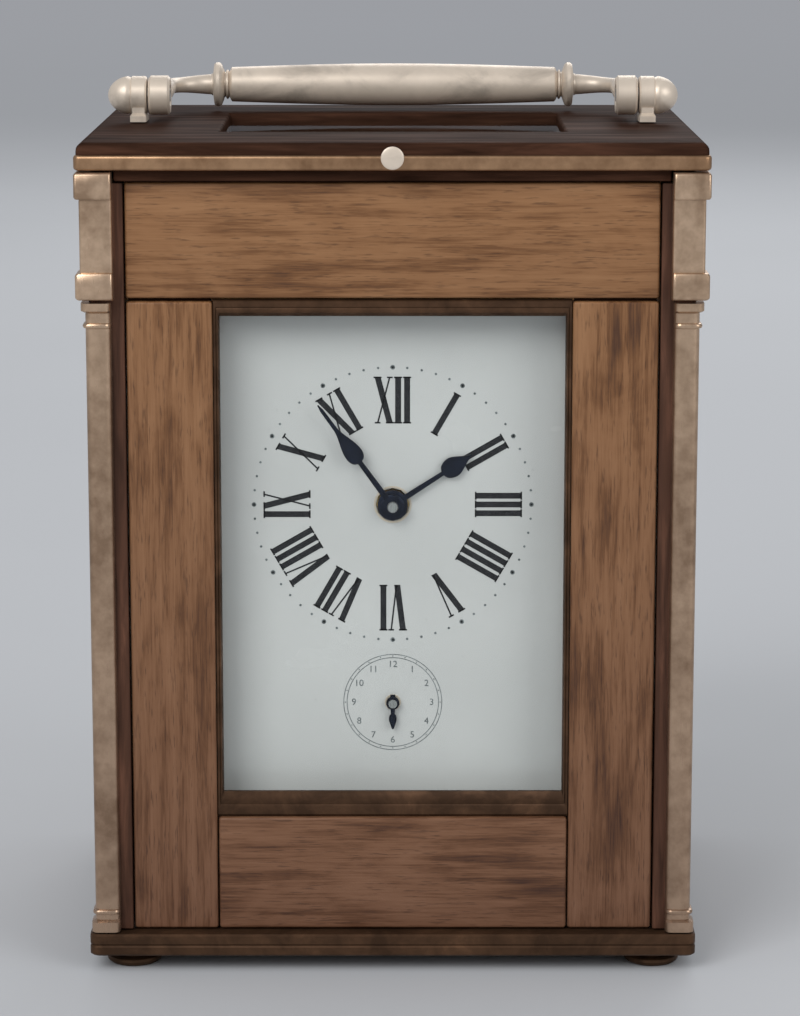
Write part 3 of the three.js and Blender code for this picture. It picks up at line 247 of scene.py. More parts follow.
def turned(profile, centre, axis, steps=ROUND_STEPS, finish=0, make=loft):
    """A turned piece from a profile of radius and height, capped flat at both ends."""
    return make(rim_rings(profile, centre, circle(steps), axis), finish)


def turned_ring(profile, centre, axis, steps=ROUND_STEPS):
    """A hollow turned piece, whose profile closes on itself."""
    return turned(profile, centre, axis, steps, make=band)


def rod(radius, centre, axis, start, end, finish=0, steps=FINE_STEPS, edge=None):
    """A straight rod with a small chamfer at both ends, 0.15 of its radius unless an edge is given."""
    edge = radius * 0.15 if edge is None else edge
    profile = [(radius - edge, start), (radius, start + edge), (radius, end - edge), (radius - edge, end)]
    return turned(profile, centre, axis, steps, finish)


def flat_ring(inner, outer, start, end, edge, centre, axis, steps=ROUND_STEPS):
    """A flat ring: a rectangle turned round the centre, its four corners cut by a chamfer."""
    low_side = [(inner + edge, start), (outer - edge, start), (outer, start + edge)]
    high_side = [(outer, end - edge), (outer - edge, end), (inner + edge, end)]
    return turned_ring(
        [*low_side, *high_side, (inner, end - edge), (inner, start + edge)], centre, axis, steps
    )


def arc(across, up, radius, start, end, steps=ARC_STEPS):
    """Pairs on a round, or an ellipse with two radii: the centre plus the radius times cosine and sine."""
    wide, tall = np.broadcast_to(radius, 2)
    angle = np.linspace(start, end, steps)
    return list(zip(across + wide * np.cos(angle), up + tall * np.sin(angle)))


def drawn_profile(shares, radius, start, length):
    """A profile from shares of a radius and of a length."""
    return [(radius * out, start + length * up) for out, up in shares]


def smooth(share):
    """Eases from 0 to 1: three times the square less twice the cube."""
    share = np.clip(share, 0, 1)
    return share * share * (3 - 2 * share)


def rounded_rectangle(half_across, half_up, radius, steps=CORNER_STEPS):
    """A rectangle's outline with round corners: each corner's centre plus the radius along a quarter turn."""
    quarter = np.linspace(0, np.pi / 2, steps)
    angle = (quarter[None, :] + np.arange(4)[:, None] * np.pi / 2).ravel()
    across = np.repeat([1, -1, -1, 1], steps) * (half_across - radius) + radius * np.cos(angle)
    up = np.repeat([1, 1, -1, -1], steps) * (half_up - radius) + radius * np.sin(angle)
    return across, up


def outlines(rows, axis, steps=CORNER_STEPS):
    """Rings of rounded rectangles from two ends across, two ends up, a height and a corner radius each."""
    rings = []
    for left, right, bottom, top, height, radius in rows:
        across, up = rounded_rectangle((right - left) / 2, (top - bottom) / 2, radius, steps)
        rings.append(spread((left + right) / 2 + across, (bottom + top) / 2 + up, height, axis))
    return np.array(rings)


def soft_block(one_corner, other_corner, edge, finish=0):
    """A block with rounded edges, drawn along its longest side. Near each end its outline is drawn in by the
    edge times one less the sine of a quarter turn, and its height goes on by one less the cosine."""
    low = np.minimum(one_corner, other_corner)
    high = np.maximum(one_corner, other_corner)
    edge = min(edge, (high - low).min() * 0.45)
    axis = "XYZ"[int(np.argmax(high - low))]
    a, b, c = AXES[axis]
    quarter = np.linspace(0, np.pi / 2, CORNER_STEPS)
    inset = edge * (1 - np.sin(quarter))
    lift = edge * (1 - np.cos(quarter))
    rows = []
    for pulled, height in [*zip(inset, low[c] + lift), *zip(inset[::-1], high[c] - lift[::-1])]:
        radius = edge * 0.3 + (edge - pulled) * 0.7
        rows.append((low[a] + pulled, high[a] - pulled, low[b] + pulled, high[b] - pulled, height, radius))
    return loft(outlines(rows, axis), finish)


def post(sections, finish=0):
    """An upright piece through rounded rectangles."""
    return loft(outlines(sections, "Z"), finish)


def picture_frame(profile, half, low, high, radius, axis, finish=0):
    """A moulding of pairs of inset and depth, carried round a rectangle with mitred or round corners."""
    rows = [
        (inset - half, half - inset, low + inset, high - inset, depth, max(radius - inset, EDGE))
        for inset, depth in profile
    ]
    return band(outlines(rows, axis), finish)


def outline_inset(across, up, inset):
    """Moves each point of an outline inwards, along the mean of the normals of the two sides beside it."""
    points = np.stack([across, up], axis=-1)
    after = np.roll(points, -1, axis=0) - points
    normal = np.stack([after[:, 1], -after[:, 0]], axis=-1)
    normal /= np.maximum(np.linalg.norm(normal, axis=1, keepdims=True), 1e-12)
    mean = normal + np.roll(normal, 1, axis=0)
    mean /= np.maximum(np.linalg.norm(mean, axis=1, keepdims=True), 1e-12)
    area = np.sum(across * np.roll(up, -1) - up * np.roll(across, -1))
    return (points - np.sign(area) * inset * mean).T


def plate(outline, start, end, axis, edge=EDGE, finish=0):
    """A flat piece cut to an outline of two rows, with a small chamfer on both faces."""
    inner = outline_inset(*outline, edge)
    sections = ((inner, start), (outline, start + edge), (outline, end - edge), (inner, end))
    return loft(np.array([spread(*cut, height, axis) for cut, height in sections]), finish)


def tube(path, radius, normal, sides):
    """A round section along a flat path: the radius times cosine to its side plus sine along the normal."""
    tangent = np.gradient(path, axis=0)
    tangent /= np.linalg.norm(tangent, axis=1, keepdims=True)
    side = np.cross(tangent, normal)
    angle = circle(sides)[None, :, None]
    ring = side[:, None, :] * np.cos(angle) + np.asarray(normal, float) * np.sin(angle)
    return loft(path[:, None, :] + np.broadcast_to(radius, (len(path),))[:, None, None] * ring)


def toothed_rings(teeth, module, pointing, inner, centre, start, end):
    """Rings of a toothed rim between its faces: the round inside, then the teeth with a small chamfer. Their
    radius goes from the root to the tip by a squared-off cosine."""
    angle = circle(teeth * TOOTH_STEPS)
    root = teeth * module / 2 - DEDENDUM_SHARE * module
    height = (ADDENDUM_SHARE + DEDENDUM_SHARE) * module
    radius = root + height * smooth(0.38 + np.cos(teeth * (angle - pointing)) * 1.1)
    edge = EDGE
    teeth_pairs = [(radius - edge, start), (radius, start + edge), (radius, end - edge), (radius - edge, end)]
    return rim_rings([(inner, start), *teeth_pairs, (inner, end)], centre, angle, "Y")


def pinion(leaves, module, pointing, centre, start, end):
    """A solid toothed drum of steel."""
    return loft(toothed_rings(leaves, module, pointing, module * leaves / 4, centre, start, end)[1:5], 1)


def pinion_at(leaves, module, pointing, centre, middle):
    """A pinion of the usual length, halfway at the middle given."""
    return pinion(leaves, module, pointing, centre, middle - PINION_LENGTH / 2, middle + PINION_LENGTH / 2)


def wheel(teeth, module, pointing, centre, start, hub):
    """A crossed-out wheel: a toothed rim, tapering spokes and a hub."""
    end = start + WHEEL_THICKNESS
    inner = teeth * module / 2 - DEDENDUM_SHARE * module - WHEEL_RIM
    return [
        band(toothed_rings(teeth, module, pointing, inner, centre, start, end)),
        *spokes(CROSSING, centre, hub * 0.6, inner + WHEEL_RIM / 2, hub * 0.42, start, end),
        rod(hub, centre, "Y", start - BURY, end + BURY, 0, ROUND_STEPS, EDGE),
    ]


def spokes(angles, centre, inner, outer, width, start, end, axis="Y"):
    """Spokes that narrow by a third on their way out, set in a little from the wheel's faces."""
    reach = np.array([inner, outer, outer, inner])
    half = np.array([width / 2, width / 3, -width / 3, -width / 2])
    made = []
    for angle in angles:
        across = centre[0] + reach * np.cos(angle) - half * np.sin(angle)
        up = centre[1] + reach * np.sin(angle) + half * np.cos(angle)
        made.append(plate((across, up), start + EDGE, end - EDGE, axis, EDGE / 2))
    return made


def screw_head(centre, axis, face, height, radius, turn, finish=0):
    """A slotted screw head: a crowned disc that dips where the distance from the slot's line is under half
    its width. A height below zero faces the other way."""
    slot_half = radius * 0.17
    slot_depth = height * 0.45
    crown = height * 0.12
    share = np.linspace(0.08, 1, 9)[:, None]
    angle = circle(MIDDLE_STEPS)[None, :]
    from_slot = np.abs(share * radius * np.sin(turn - angle))
    dip = np.where(from_slot < slot_half, slot_depth, 0)
    top = around(centre, share * radius, angle, face + height - crown * share**2 - dip, axis)
    return loft(np.concatenate([top, around(centre, radius, angle, face, axis)]), finish)


def shown(name, data):
    """An object of the scene from its data."""
    thing = bpy.data.objects.new(name, data)
    bpy.context.scene.collection.objects.link(thing)
    return thing


def put(name, mesh, finish_names, body="case"):
    """An object of the named body, with its finishes."""
    for finish_name in finish_names:
        mesh.materials.append(finish(finish_name))
    mesh.update()
    thing = shown(name, mesh)
    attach(thing, body)
    return thing


def piece(name, shells, finish_names, body="case", node=None):
    """One object from its shells, in a node's place where one is named. Sharp edges stay sharp."""
    faces = []
    numbers = []
    offset = 0
    for shell in shells:
        faces.extend((shell.quads + offset).tolist())
        faces.extend((cap + offset).tolist() for cap in shell.caps)
        numbers.extend([shell.finish] * (len(shell.quads) + len(shell.caps)))
        offset += len(shell.points)
    mesh = bpy.data.meshes.new(name)
    mesh.from_pydata(np.concatenate([shell.points for shell in shells]).tolist(), [], faces)
    mesh.polygons.foreach_set("material_index", np.array(numbers, np.int32))
    mesh.shade_smooth()
    mesh.set_sharp_from_angle(angle=SHARP_ANGLE)
    thing = put(name, mesh, finish_names, body)
    if node:
        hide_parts(node)


def instead(node, ending, shells, finish_names, body="case"):
    """A piece that takes a node's place and has its name with an ending."""
    piece(node + ending, shells, finish_names, body, node)


def moving(node, shells, finish_names=BRASS_AND_STEEL, ending="_cut"):
    """The same for a node that is a body of its own."""
    instead(node, ending, shells, finish_names, node)


def paint_node(name, finish_name):
    """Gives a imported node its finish."""
    thing = frame["nodes"][name]
    thing.data.materials.clear()
    thing.data.materials.append(finish(finish_name))


def box(name):
    low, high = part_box(name)
    return np.array(low, float), np.array(high, float)


def axis_at(name, axis="Y"):
    """Where a joint's axis passes, in the two coordinates across it."""
    joint = next(joint for joint in frame["joints"] if joint["name"] == name)
    return np.array([joint["pos_m"][k] for k in AXES[axis][:2]], float)


# Finishes


def add_node(tree, kind, inputs=None, **settings):
    """A node with its settings. Each of its inputs named is joined to an output or given a value."""
    made = tree.nodes.new("ShaderNode" + kind)
    for name, value in settings.items():
        setattr(made, name, value)
    for name, value in (inputs or {}).items():
        if isinstance(value, bpy.types.NodeSocket):
            tree.links.new(value, made.inputs[name])
        else:
            made.inputs[name].default_value = value
    return made


def reckon(tree, how, first, second):
    """A Math node's output for two values."""
    return add_node(tree, "Math", {0: first, 1: second}, operation=how).outputs[0]


def opaque(colour):
    """A colour with full opacity. An output stays as it is."""
    return colour if isinstance(colour, bpy.types.NodeSocket) else (*colour, 1)


class Finish:
    """A material. Its short calls add nodes, join them and return their output."""

    def __init__(self, name):
        self.material = bpy.data.materials.new(name)
        self.material.use_nodes = True
        self.tree = self.material.node_tree
        self.shader = self.tree.nodes["Principled BSDF"]
        self.place = self.node("TexCoord").outputs["Object"]

    def node(self, kind, inputs=None, **settings):
        return add_node(self.tree, kind, inputs, **settings)

    def set(self, **values):
        for name, value in values.items():
            self.shader.inputs[name.replace("_", " ")].default_value = value

    def feed(self, name, output):
        self.tree.links.new(output, self.shader.inputs[name])

    def paint(self, output):
        self.feed("Base Color", output)

    def rough(self, value, start, end, low=0.3, high=0.7):
        self.feed("Roughness", self.span(value, low, high, start, end))

    def bump(self, height, distance, strength):
        made = self.node("Bump", {"Height": height, "Distance": distance, "Strength": strength})
        self.feed("Normal", made.outputs["Normal"])

    def show(self, *shaders):
        """Mixes two shaders by the share given before them."""
        mixed = self.node("MixShader", dict(enumerate(shaders)))
        self.tree.links.new(mixed.outputs[0], self.tree.nodes["Material Output"].inputs["Surface"])

    def noise(self, scale, detail, roughness, distortion=0, stretch=(1, 1, 1)):
        """A noise over the piece's own coordinates, each times its stretch."""
        mapped = self.node("Mapping", {"Vector": self.place, "Scale": stretch})
        form = {"Scale": scale, "Detail": detail, "Roughness": roughness, "Distortion": distortion}
        return self.node("TexNoise", {"Vector": mapped.outputs["Vector"], **form}).outputs["Fac"]

    def mean(self, first, second, share):
        """The first value times one less the share, plus the second times the share."""
        return self.node("Mix", {0: share, 2: first, 3: second}, data_type="FLOAT").outputs[0]

    def span(self, value, low, high, start, end):
        """A value from start to end as the one given goes from low to high."""
        inputs = {"Value": value, "From Min": low, "From Max": high, "To Min": start, "To Max": end}
        return self.node("MapRange", inputs).outputs["Result"]

    def upwards(self, low, high, start, end):
        """The same for the height in place of a value."""
        split = self.node("SeparateXYZ", {"Vector": self.place})
        return self.span(split.outputs["Z"], low, high, start, end)

    def ramp(self, value, *stops):
        made = self.node("ValToRGB", {"Fac": value})
        elements = made.color_ramp.elements
        while len(elements) < len(stops):
            elements.new(0.5)
        for element, (position, colour) in zip(elements, stops):
            element.position = position
            element.color = opaque(colour)
        return made.outputs["Color"]

    def tones(self, value, base, *stops):
        """Paints with a ramp of shades of one colour."""
        self.paint(self.ramp(value, *((position, shade(base, share)) for position, share in stops)))

    def blend(self, share, first, second, how="MIX"):
        inputs = {0: share, 6: opaque(first), 7: opaque(second)}
        return self.node("Mix", inputs, data_type="RGBA", blend_type=how).outputs[2]


def colours():
    return bpy.context.scene.clock_colours


def shade(colour, share):
    """A colour times one share, or times a share for each of its three parts."""
    return tuple(np.clip(np.array(colour) * share, 0, 1))


def drawn_out(grain, along, across):
    """A stretch with one scale along the grain's axis and another across it."""
    return tuple(along if axis == grain else across for axis in "XYZ")


def wood(look, grain):
    """Polished figured wood. Streaks and fibres are noise drawn out along the grain, over a cloudy figure;
    dark pores are the peaks of a much finer noise. Towards the base it is painted darker and duller, as
    painted shade."""
    light = colours().wood_light
    dark = colours().wood_dark
    streaks = look.noise(42, 6, 0.6, 0.5, drawn_out(grain, 0.9, 13))
    fibres = look.noise(40, 3, 0.6, 0, drawn_out(grain, 3, 90))
    figure = look.noise(46, 4, 0.55, 1.2, drawn_out(grain, 0.7, 1.5))
    tone = look.mean(look.mean(streaks, figure, 0.45), fibres, 0.22)
    brown = (0.44, shade(light, (0.56, 0.49, 0.42)))
    tan = (0.51, shade(light, (0.84, 0.8, 0.76)))
    body = look.ramp(tone, (0.35, shade(dark, 1.5)), brown, tan, (0.62, light))
    pores = look.noise(24, 2, 0.5, 0, drawn_out(grain, 12, 130))
    pored = look.blend(look.span(pores, 0.58, 0.72, 0, 0.5), body, dark)
    # Painted shade: the wood is multiplied by the base-shade tint, fully at the floor and fading out by 0.135
    # m up
    look.paint(look.blend(look.upwards(0, 0.135, 1, 0), pored, colours().wood_low, "MULTIPLY"))
    look.rough(streaks, 0.5, 0.38)
    look.set(Coat_Weight=0.06, Coat_Roughness=0.22, Specular_IOR_Level=0.22)
    look.bump(look.mean(fibres, pores, 0.5), 0.0001, 0.35)


def dark_wood(look, grain, share, gloss):
    """Ebonised wood: nearly black brown with a reddish cast in slow streaks, and a dull polish."""
    streaks = look.noise(40, 5, 0.6, 0.5, drawn_out(grain, 1, 12))
    base = shade(colours().dark_wood, share)
    look.tones(streaks, base, (0.35, 0.5), (0.55, 1), (0.72, 1.8))
    look.rough(streaks, 0.62, 0.5)
    look.set(Specular_IOR_Level=gloss)
    look.bump(streaks, 0.00008, 0.3)


def case_brass(look, share, roughness):
    """Satin brass: rosy tarnish in cloudy patches, painted shade that darkens it low down, faint upright
    brushing.
    """
    base = shade(colours().corner_brass, share)
    clouds = look.noise(75, 5, 0.6, 0.6, (1, 1, 0.6))
    spots = look.noise(420, 3, 0.6)
    tarnish = look.span(look.mean(clouds, spots, 0.35), 0.42, 0.64, 0, 0.75)
    toned = look.blend(tarnish, base, shade(shade(base, 0.42), (1, 0.88, 0.78)))
    # Painted shade: a multiply that is strongest at the foot and fades towards the top darkens the lower
    # brass
    look.paint(look.blend(look.upwards(0.003, 0.125, 0.75, 0.12), toned, (0.62, 0.58, 0.6), "MULTIPLY"))
    brushing = look.noise(2600, 2, 0.5, 0, (1, 1, 0.03))
    look.rough(look.mean(clouds, brushing, 0.5), roughness, roughness + 0.16)
    look.set(Metallic=0.88)
    look.bump(brushing, 0.00003, 0.25)


def handle_brass(look):
    """Brass rubbed pale by hands, with duller patches and faint marks round the grip."""
    pale = colours().handle_brass
    clouds = look.noise(110, 5, 0.6, 0.5, (0.7, 1, 1))
    marks = look.noise(2600, 2, 0.5, 0, (1, 0.06, 0.06))
    look.tones(clouds, pale, (0.34, 0.62), (0.5, 0.9), (0.66, 1))
    look.rough(look.mean(clouds, marks, 0.5), 0.5, 0.32)
    look.set(Metallic=0.42)
    look.bump(marks, 0.00002, 0.2)


def dark_brass(look):
    """Old dark brass: nearly black-brown patina, rubbed a little brighter in patches."""
    base = colours().dark_brass
    wear = look.noise(130, 5, 0.65, 0.4)
    look.tones(wear, base, (0.4, 1), (0.62, 1.9), (0.78, 3.4))
    look.rough(wear, 0.6, 0.42, 0.35)
    look.set(Metallic=0.6, Specular_IOR_Level=0.2)
    look.bump(wear, 0.00005, 0.3)


def plate_brass(look):
    """Brass with a straight upright grain, as filed plates have."""
    base = colours().plate_brass
    grain = look.noise(3600, 3, 0.6, 0, (1, 1, 0.02))
    clouds = look.noise(55, 4, 0.6, 0.5)
    tone = look.mean(grain, clouds, 0.45)
    look.tones(tone, base, (0.3, 0.66), (0.52, 1), (0.75, 1.12))
    look.rough(grain, 0.26, 0.42)
    look.set(Metallic=1)
    look.bump(grain, 0.00002, 0.35)


def wheel_brass(look):
    """Polished yellow brass of the wheels and drums, with slight clouds."""
    base = shade(colours().plate_brass, 1.06)
    clouds = look.noise(160, 4, 0.6, 0.5)
    look.tones(clouds, base, (0.35, 0.78), (0.6, 1))
    look.rough(clouds, 0.18, 0.32)
    look.set(Metallic=1)


def steel(look, share, roughness, grain_scale):
    """Steel with fine straight graining."""
    base = shade(colours().steel, share)
    grain = look.noise(grain_scale, 3, 0.6, 0, (1, 0.04, 0.04))
    look.tones(grain, base, (0.3, 0.82), (0.7, 1))
    look.rough(grain, roughness, roughness + 0.1)
    look.set(Metallic=1)
    look.bump(grain, 0.00001, 0.3)


def blued_steel(look):
    """Blued steel: nearly black, with a blue sheen that clouds a little."""
    base = colours().blued
    clouds = look.noise(600, 3, 0.6)
    look.tones(clouds, base, (0.35, 0.7), (0.7, 1.5))
    look.rough(clouds, 0.28, 0.4)
    look.set(Metallic=0.8, Specular_IOR_Level=0.3)


def enamel(look):
    """White enamel: faintly uneven and cool, with a soft gloss and a slow ripple in its surface."""
    base = colours().enamel
    clouds = look.noise(34, 3, 0.5)
    specks = look.noise(900, 2, 0.5)
    body = look.ramp(clouds, (0.3, shade(base, 0.93)), (0.6, base), (0.8, shade(base, 1.04)))
    look.paint(look.blend(look.span(specks, 0.72, 0.8, 0, 0.25), body, shade(base, 0.55)))
    look.rough(clouds, 0.2, 0.28)
    look.set(Coat_Weight=0.3, Coat_Roughness=0.08)
    look.bump(clouds, 0.0002, 0.1)


def ink(look, colour):
    """Fired black paint: dense, with a slightly uneven tone."""
    tone = look.noise(1500, 2, 0.6)
    look.tones(tone, colour, (0.35, 1), (0.75, 2.4))
    look.rough(tone, 0.5, 0.6)
    look.set(Specular_IOR_Level=0.15)


def jewel(look):
    """Ruby bearing stone."""
    tone = look.noise(2500, 2, 0.5)
    look.paint(look.ramp(tone, (0.3, (0.3, 0.006, 0.02)), (0.7, (0.55, 0.02, 0.06))))
    look.rough(tone, 0.05, 0.12)
    look.set(Coat_Weight=0.8)


def clear_glass(look):
    """A clear pane with a reflection on its front faces, which grows at a glancing angle up to a cap and
    blurs where the glass is smeared."""
    smear = look.noise(28, 4, 0.6, 0.8)
    through = look.node("BsdfTransparent", {"Color": (0.965, 0.98, 0.972, 1)})
    blur = look.span(smear, 0.35, 0.7, 0.015, 0.07)
    gloss = look.node("BsdfGlossy", {"Color": (1, 1, 1, 1), "Roughness": blur})
    facing = look.node("Fresnel", {"IOR": 1.36})
    path = look.node("LightPath")
    surface = look.node("NewGeometry")
    tree = look.tree
    hidden = reckon(tree, "MAXIMUM", path.outputs["Is Shadow Ray"], surface.outputs["Backfacing"])
    capped = reckon(tree, "MINIMUM", facing.outputs["Fac"], 0.2)
    seen = reckon(tree, "MULTIPLY", capped, look.span(hidden, 0, 1, 0.85, 0))
    look.show(seen, through.outputs[0], gloss.outputs[0])
    look.tree.nodes.remove(look.shader)


# What paints each material and the settings for that. No material has the name of a slot
FINISHES = {
    "wood_upright": (wood, "Z"), "wood_level": (wood, "X"),
    "wood_level_side": (wood, "Y"), "dark_wood": (dark_wood, "X", 1, 0.01),
    "groove_wood": (dark_wood, "Z", 1.9, 0.12), "corner_brass": (case_brass, 1, 0.24),
    # Painted light: the blocks' brass is the corner brass painted 1.14 times lighter
    "block_brass": (case_brass, 1.14, 0.24),
    "cornice_brass": (case_brass, (0.78, 0.66, 0.54), 0.28),
    "handle_brass": (handle_brass,),
    "patinated_brass": (dark_brass,), "plate_brass": (plate_brass,),
    "wheel_brass": (wheel_brass,), "bright_steel": (steel, 1, 0.22, 2400),
    "gong_wire": (steel, 0.34, 0.3, 900),
    "blued_metal": (blued_steel,), "white_enamel": (enamel,),
    "dial_ink": (ink, (0.012, 0.012, 0.014)), "dial_ink_pale": (ink, (0.1, 0.11, 0.115)),
    "ruby_jewel": (jewel,), "window_glass": (clear_glass,),
}


def finish(name):
    """A finish's material, made the first time that it is asked for."""
    if name not in bpy.data.materials:
        paint, *settings = FINISHES[name]
        paint(Finish(name), *settings)
    return bpy.data.materials[name]


# The case


class CLOCK_OT_panels(bpy.types.Operator):
    """Make the front panels, the friezes and the dark tongues behind the front seam"""

    bl_idname = "clock.panels"
    bl_label = "Panels and friezes"

    def execute(self, context):
        self.tongues()
        for name, grain in (
            ("frieze_front", "wood_level"), ("frieze_rear", "wood_level"),
            ("frieze_left", "wood_level_side"), ("frieze_right", "wood_level_side"),
            ("stile_front_left", "wood_upright"), ("stile_front_right", "wood_upright"),
            ("rail_front_bottom", "wood_level"),
        ):
            board = soft_block(*box(name), context.scene.clock_case.panel_edge)
            instead(name, "_board", [board], [grain])
        return {"FINISHED"}

    def tongues(self):
        """A dark tongue behind the seam on each side of the window, which keeps light out of it."""
        low, high = box("stile_front_right")
        seam = box("frieze_front")[0][2]
        depth = (high[1] - low[1]) / 2
        near = (low[0] + BURY, low[1] + depth, high[2] - depth / 2)
        far = (high[0] - BURY, high[1] - BURY, seam + depth / 2)
        tongue = soft_block(near, far, BURY)
        piece("seam_tongues", [tongue, tongue.mirrored(LEFT)], ["dark_wood"])


def glazing_bead(out, face, inward, width, opening, axis, finish=0):
    """A thin moulding round an opening, given as its half width, low and high end: a flat just inside the
    frame's outer face, a slope, and a wall back to the glass."""
    lip = out + inward * BURY * 2
    profile = [(0, lip), (width * 0.6, lip), (width, out + inward * width), (width, face), (0, face)]
    return picture_frame(profile, *opening, EDGE, axis, finish)


class CLOCK_OT_sides(bpy.types.Operator):
    """Make the two side frames, each of two stiles and a rail, with a slim bead round the glass"""

    bl_idname = "clock.sides"
    bl_label = "Side frames"

    bead: length("Bead", "Width of the glazing bead", 0.0008)

    def execute(self, context):
        edge = context.scene.clock_case.panel_edge
        for side, outer, inward in (("left", 0, 1), ("right", 1, -1)):
            name = "side_frame_" + side
            low, high = box(name)
            glass = box("side_glass_" + side)
            window = glass[1][1] + BURY
            rail_top = glass[0][2] - BURY
            shells = [
                soft_block(low, (high[0], -window, high[2]), edge),
                soft_block((low[0], window, low[2]), high, edge),
                soft_block((low[0], -window, low[2]), (high[0], window, rail_top), edge, 1),
            ]
            instead(name, "_boards", shells, ("wood_upright", "wood_level_side"))
            opening = (window, rail_top, glass[1][2] + BURY)
            bead = glazing_bead((low, high)[outer][0], glass[outer][0], inward, self.bead, opening, "X")
            piece("side_bead_" + side, [bead], ["patinated_brass"])
        return {"FINISHED"}


class CLOCK_OT_columns(bpy.types.Operator):
    """Make the four corner columns with their banded blocks"""

    bl_idname = "clock.columns"
    bl_label = "Corner columns"

    shaft_setback: length("Shaft setback", "From the block's face to the shaft's", 0.0015)
    shaft_side: length("Shaft side", "Width of the shaft", 0.0045)
    block_side: length("Block side", "Width of the corner block", 0.0065)
    seam: length("Seam", "Height of the seam", 0.0006)
    seam_height: length("Seam height", "Height of the seam above the table", 0.1212)
    band_height: length("Bands", "Height of the block's two bands", 0.0048)
    band_recess: length("Recess", "Depth between the bands", 0.0008)

    def execute(self, context):
        sizes = context.scene.clock_case
        low, high = box("column_front_right")
        corner = [*self.shaft(sizes, low, high), self.block(sizes, low, high), self.web(sizes, low, high)]
        # The blocks take the lighter copy of the brass, which is painted light
        used = ("corner_brass", "groove_wood", "block_brass")
        for across, x_name in ((1, "right"), (-1, "left")):
            for along, y_name in ((1, "front"), (-1, "rear")):
                shells = [shell.mirrored((across, along, 1)) for shell in corner]
                instead("column_" + y_name + "_" + x_name, "_brass", shells, used)
        return {"FINISHED"}

    def shaft(self, sizes, low, high):
        """The front right shaft with its foot, two rings and cap, and the dark neck in the seam."""
        fillet = self.shaft_setback * 0.3
        outer_x = high[0] - self.shaft_setback
        outer_y = low[1] + self.shaft_setback
        seam_low = self.seam_height
        seam_high = seam_low + self.seam

        def section(z, grow):
            inner_x = outer_x - self.shaft_side
            inner_y = outer_y + self.shaft_side
            return (inner_x, outer_x + grow, outer_y - grow, inner_y, z, sizes.shaft_edge)

        ring = ((0, 0), (0.3, 0.7), (0.9, 1), (1.3, 1), (1.9, 0.7), (2.2, 0))
        foot = [(0, 1.4), (4, 1.4), (5, 0), *((up + 7, out) for up, out in ring)]
        head = [*((up - 10, out) for up, out in ring), (-4, 0), (-3, 1.6), (0, 1.6)]
        sections = [
            section(start + fillet * up, fillet * out)
            for start, steps in ((low[2], foot), (seam_low, head))
            for up, out in steps
        ]
        neck = -self.shaft_setback * 0.4
        return post(sections), post([section(seam_low - BURY, neck), section(seam_high + BURY, neck)], 1)

    def block(self, sizes, low, high):
        """The block over the seam: a band at both ends with rounded lips, and a recess between them."""
        edge = sizes.block_edge
        start = self.seam_height + self.seam
        ends = ((0, edge, edge * 0.6), (edge * 0.4, edge * 0.3, edge), (edge, 0, edge))
        lips = ((0, self.band_recess, edge), (edge * 0.3, edge * 0.4, edge), (edge, 0, edge))
        sections = []
        for height, way, steps in (
            (start, 1, ends), (start + self.band_height, -1, lips[::-1]),
            (high[2] - self.band_height, 1, lips), (high[2], -1, ends[::-1]),
        ):
            for up, back, radius in steps:
                x = (high[0] - self.block_side, high[0] - back)
                y = (low[1] + back, low[1] + self.block_side)
                sections.append((*x, *y, height + way * up, radius))
        return post(sections, 2)

    def web(self, sizes, low, high):
        """The dark wood behind the shaft, up to just under the block's head."""
        near = (low[0], low[1] + self.shaft_setback * 2, low[2])
        top = high[2] - (high[2] - self.seam_height) * 0.09
        return soft_block(near, (high[0] - self.shaft_setback * 2, high[1], top), sizes.block_edge / 2, 1)


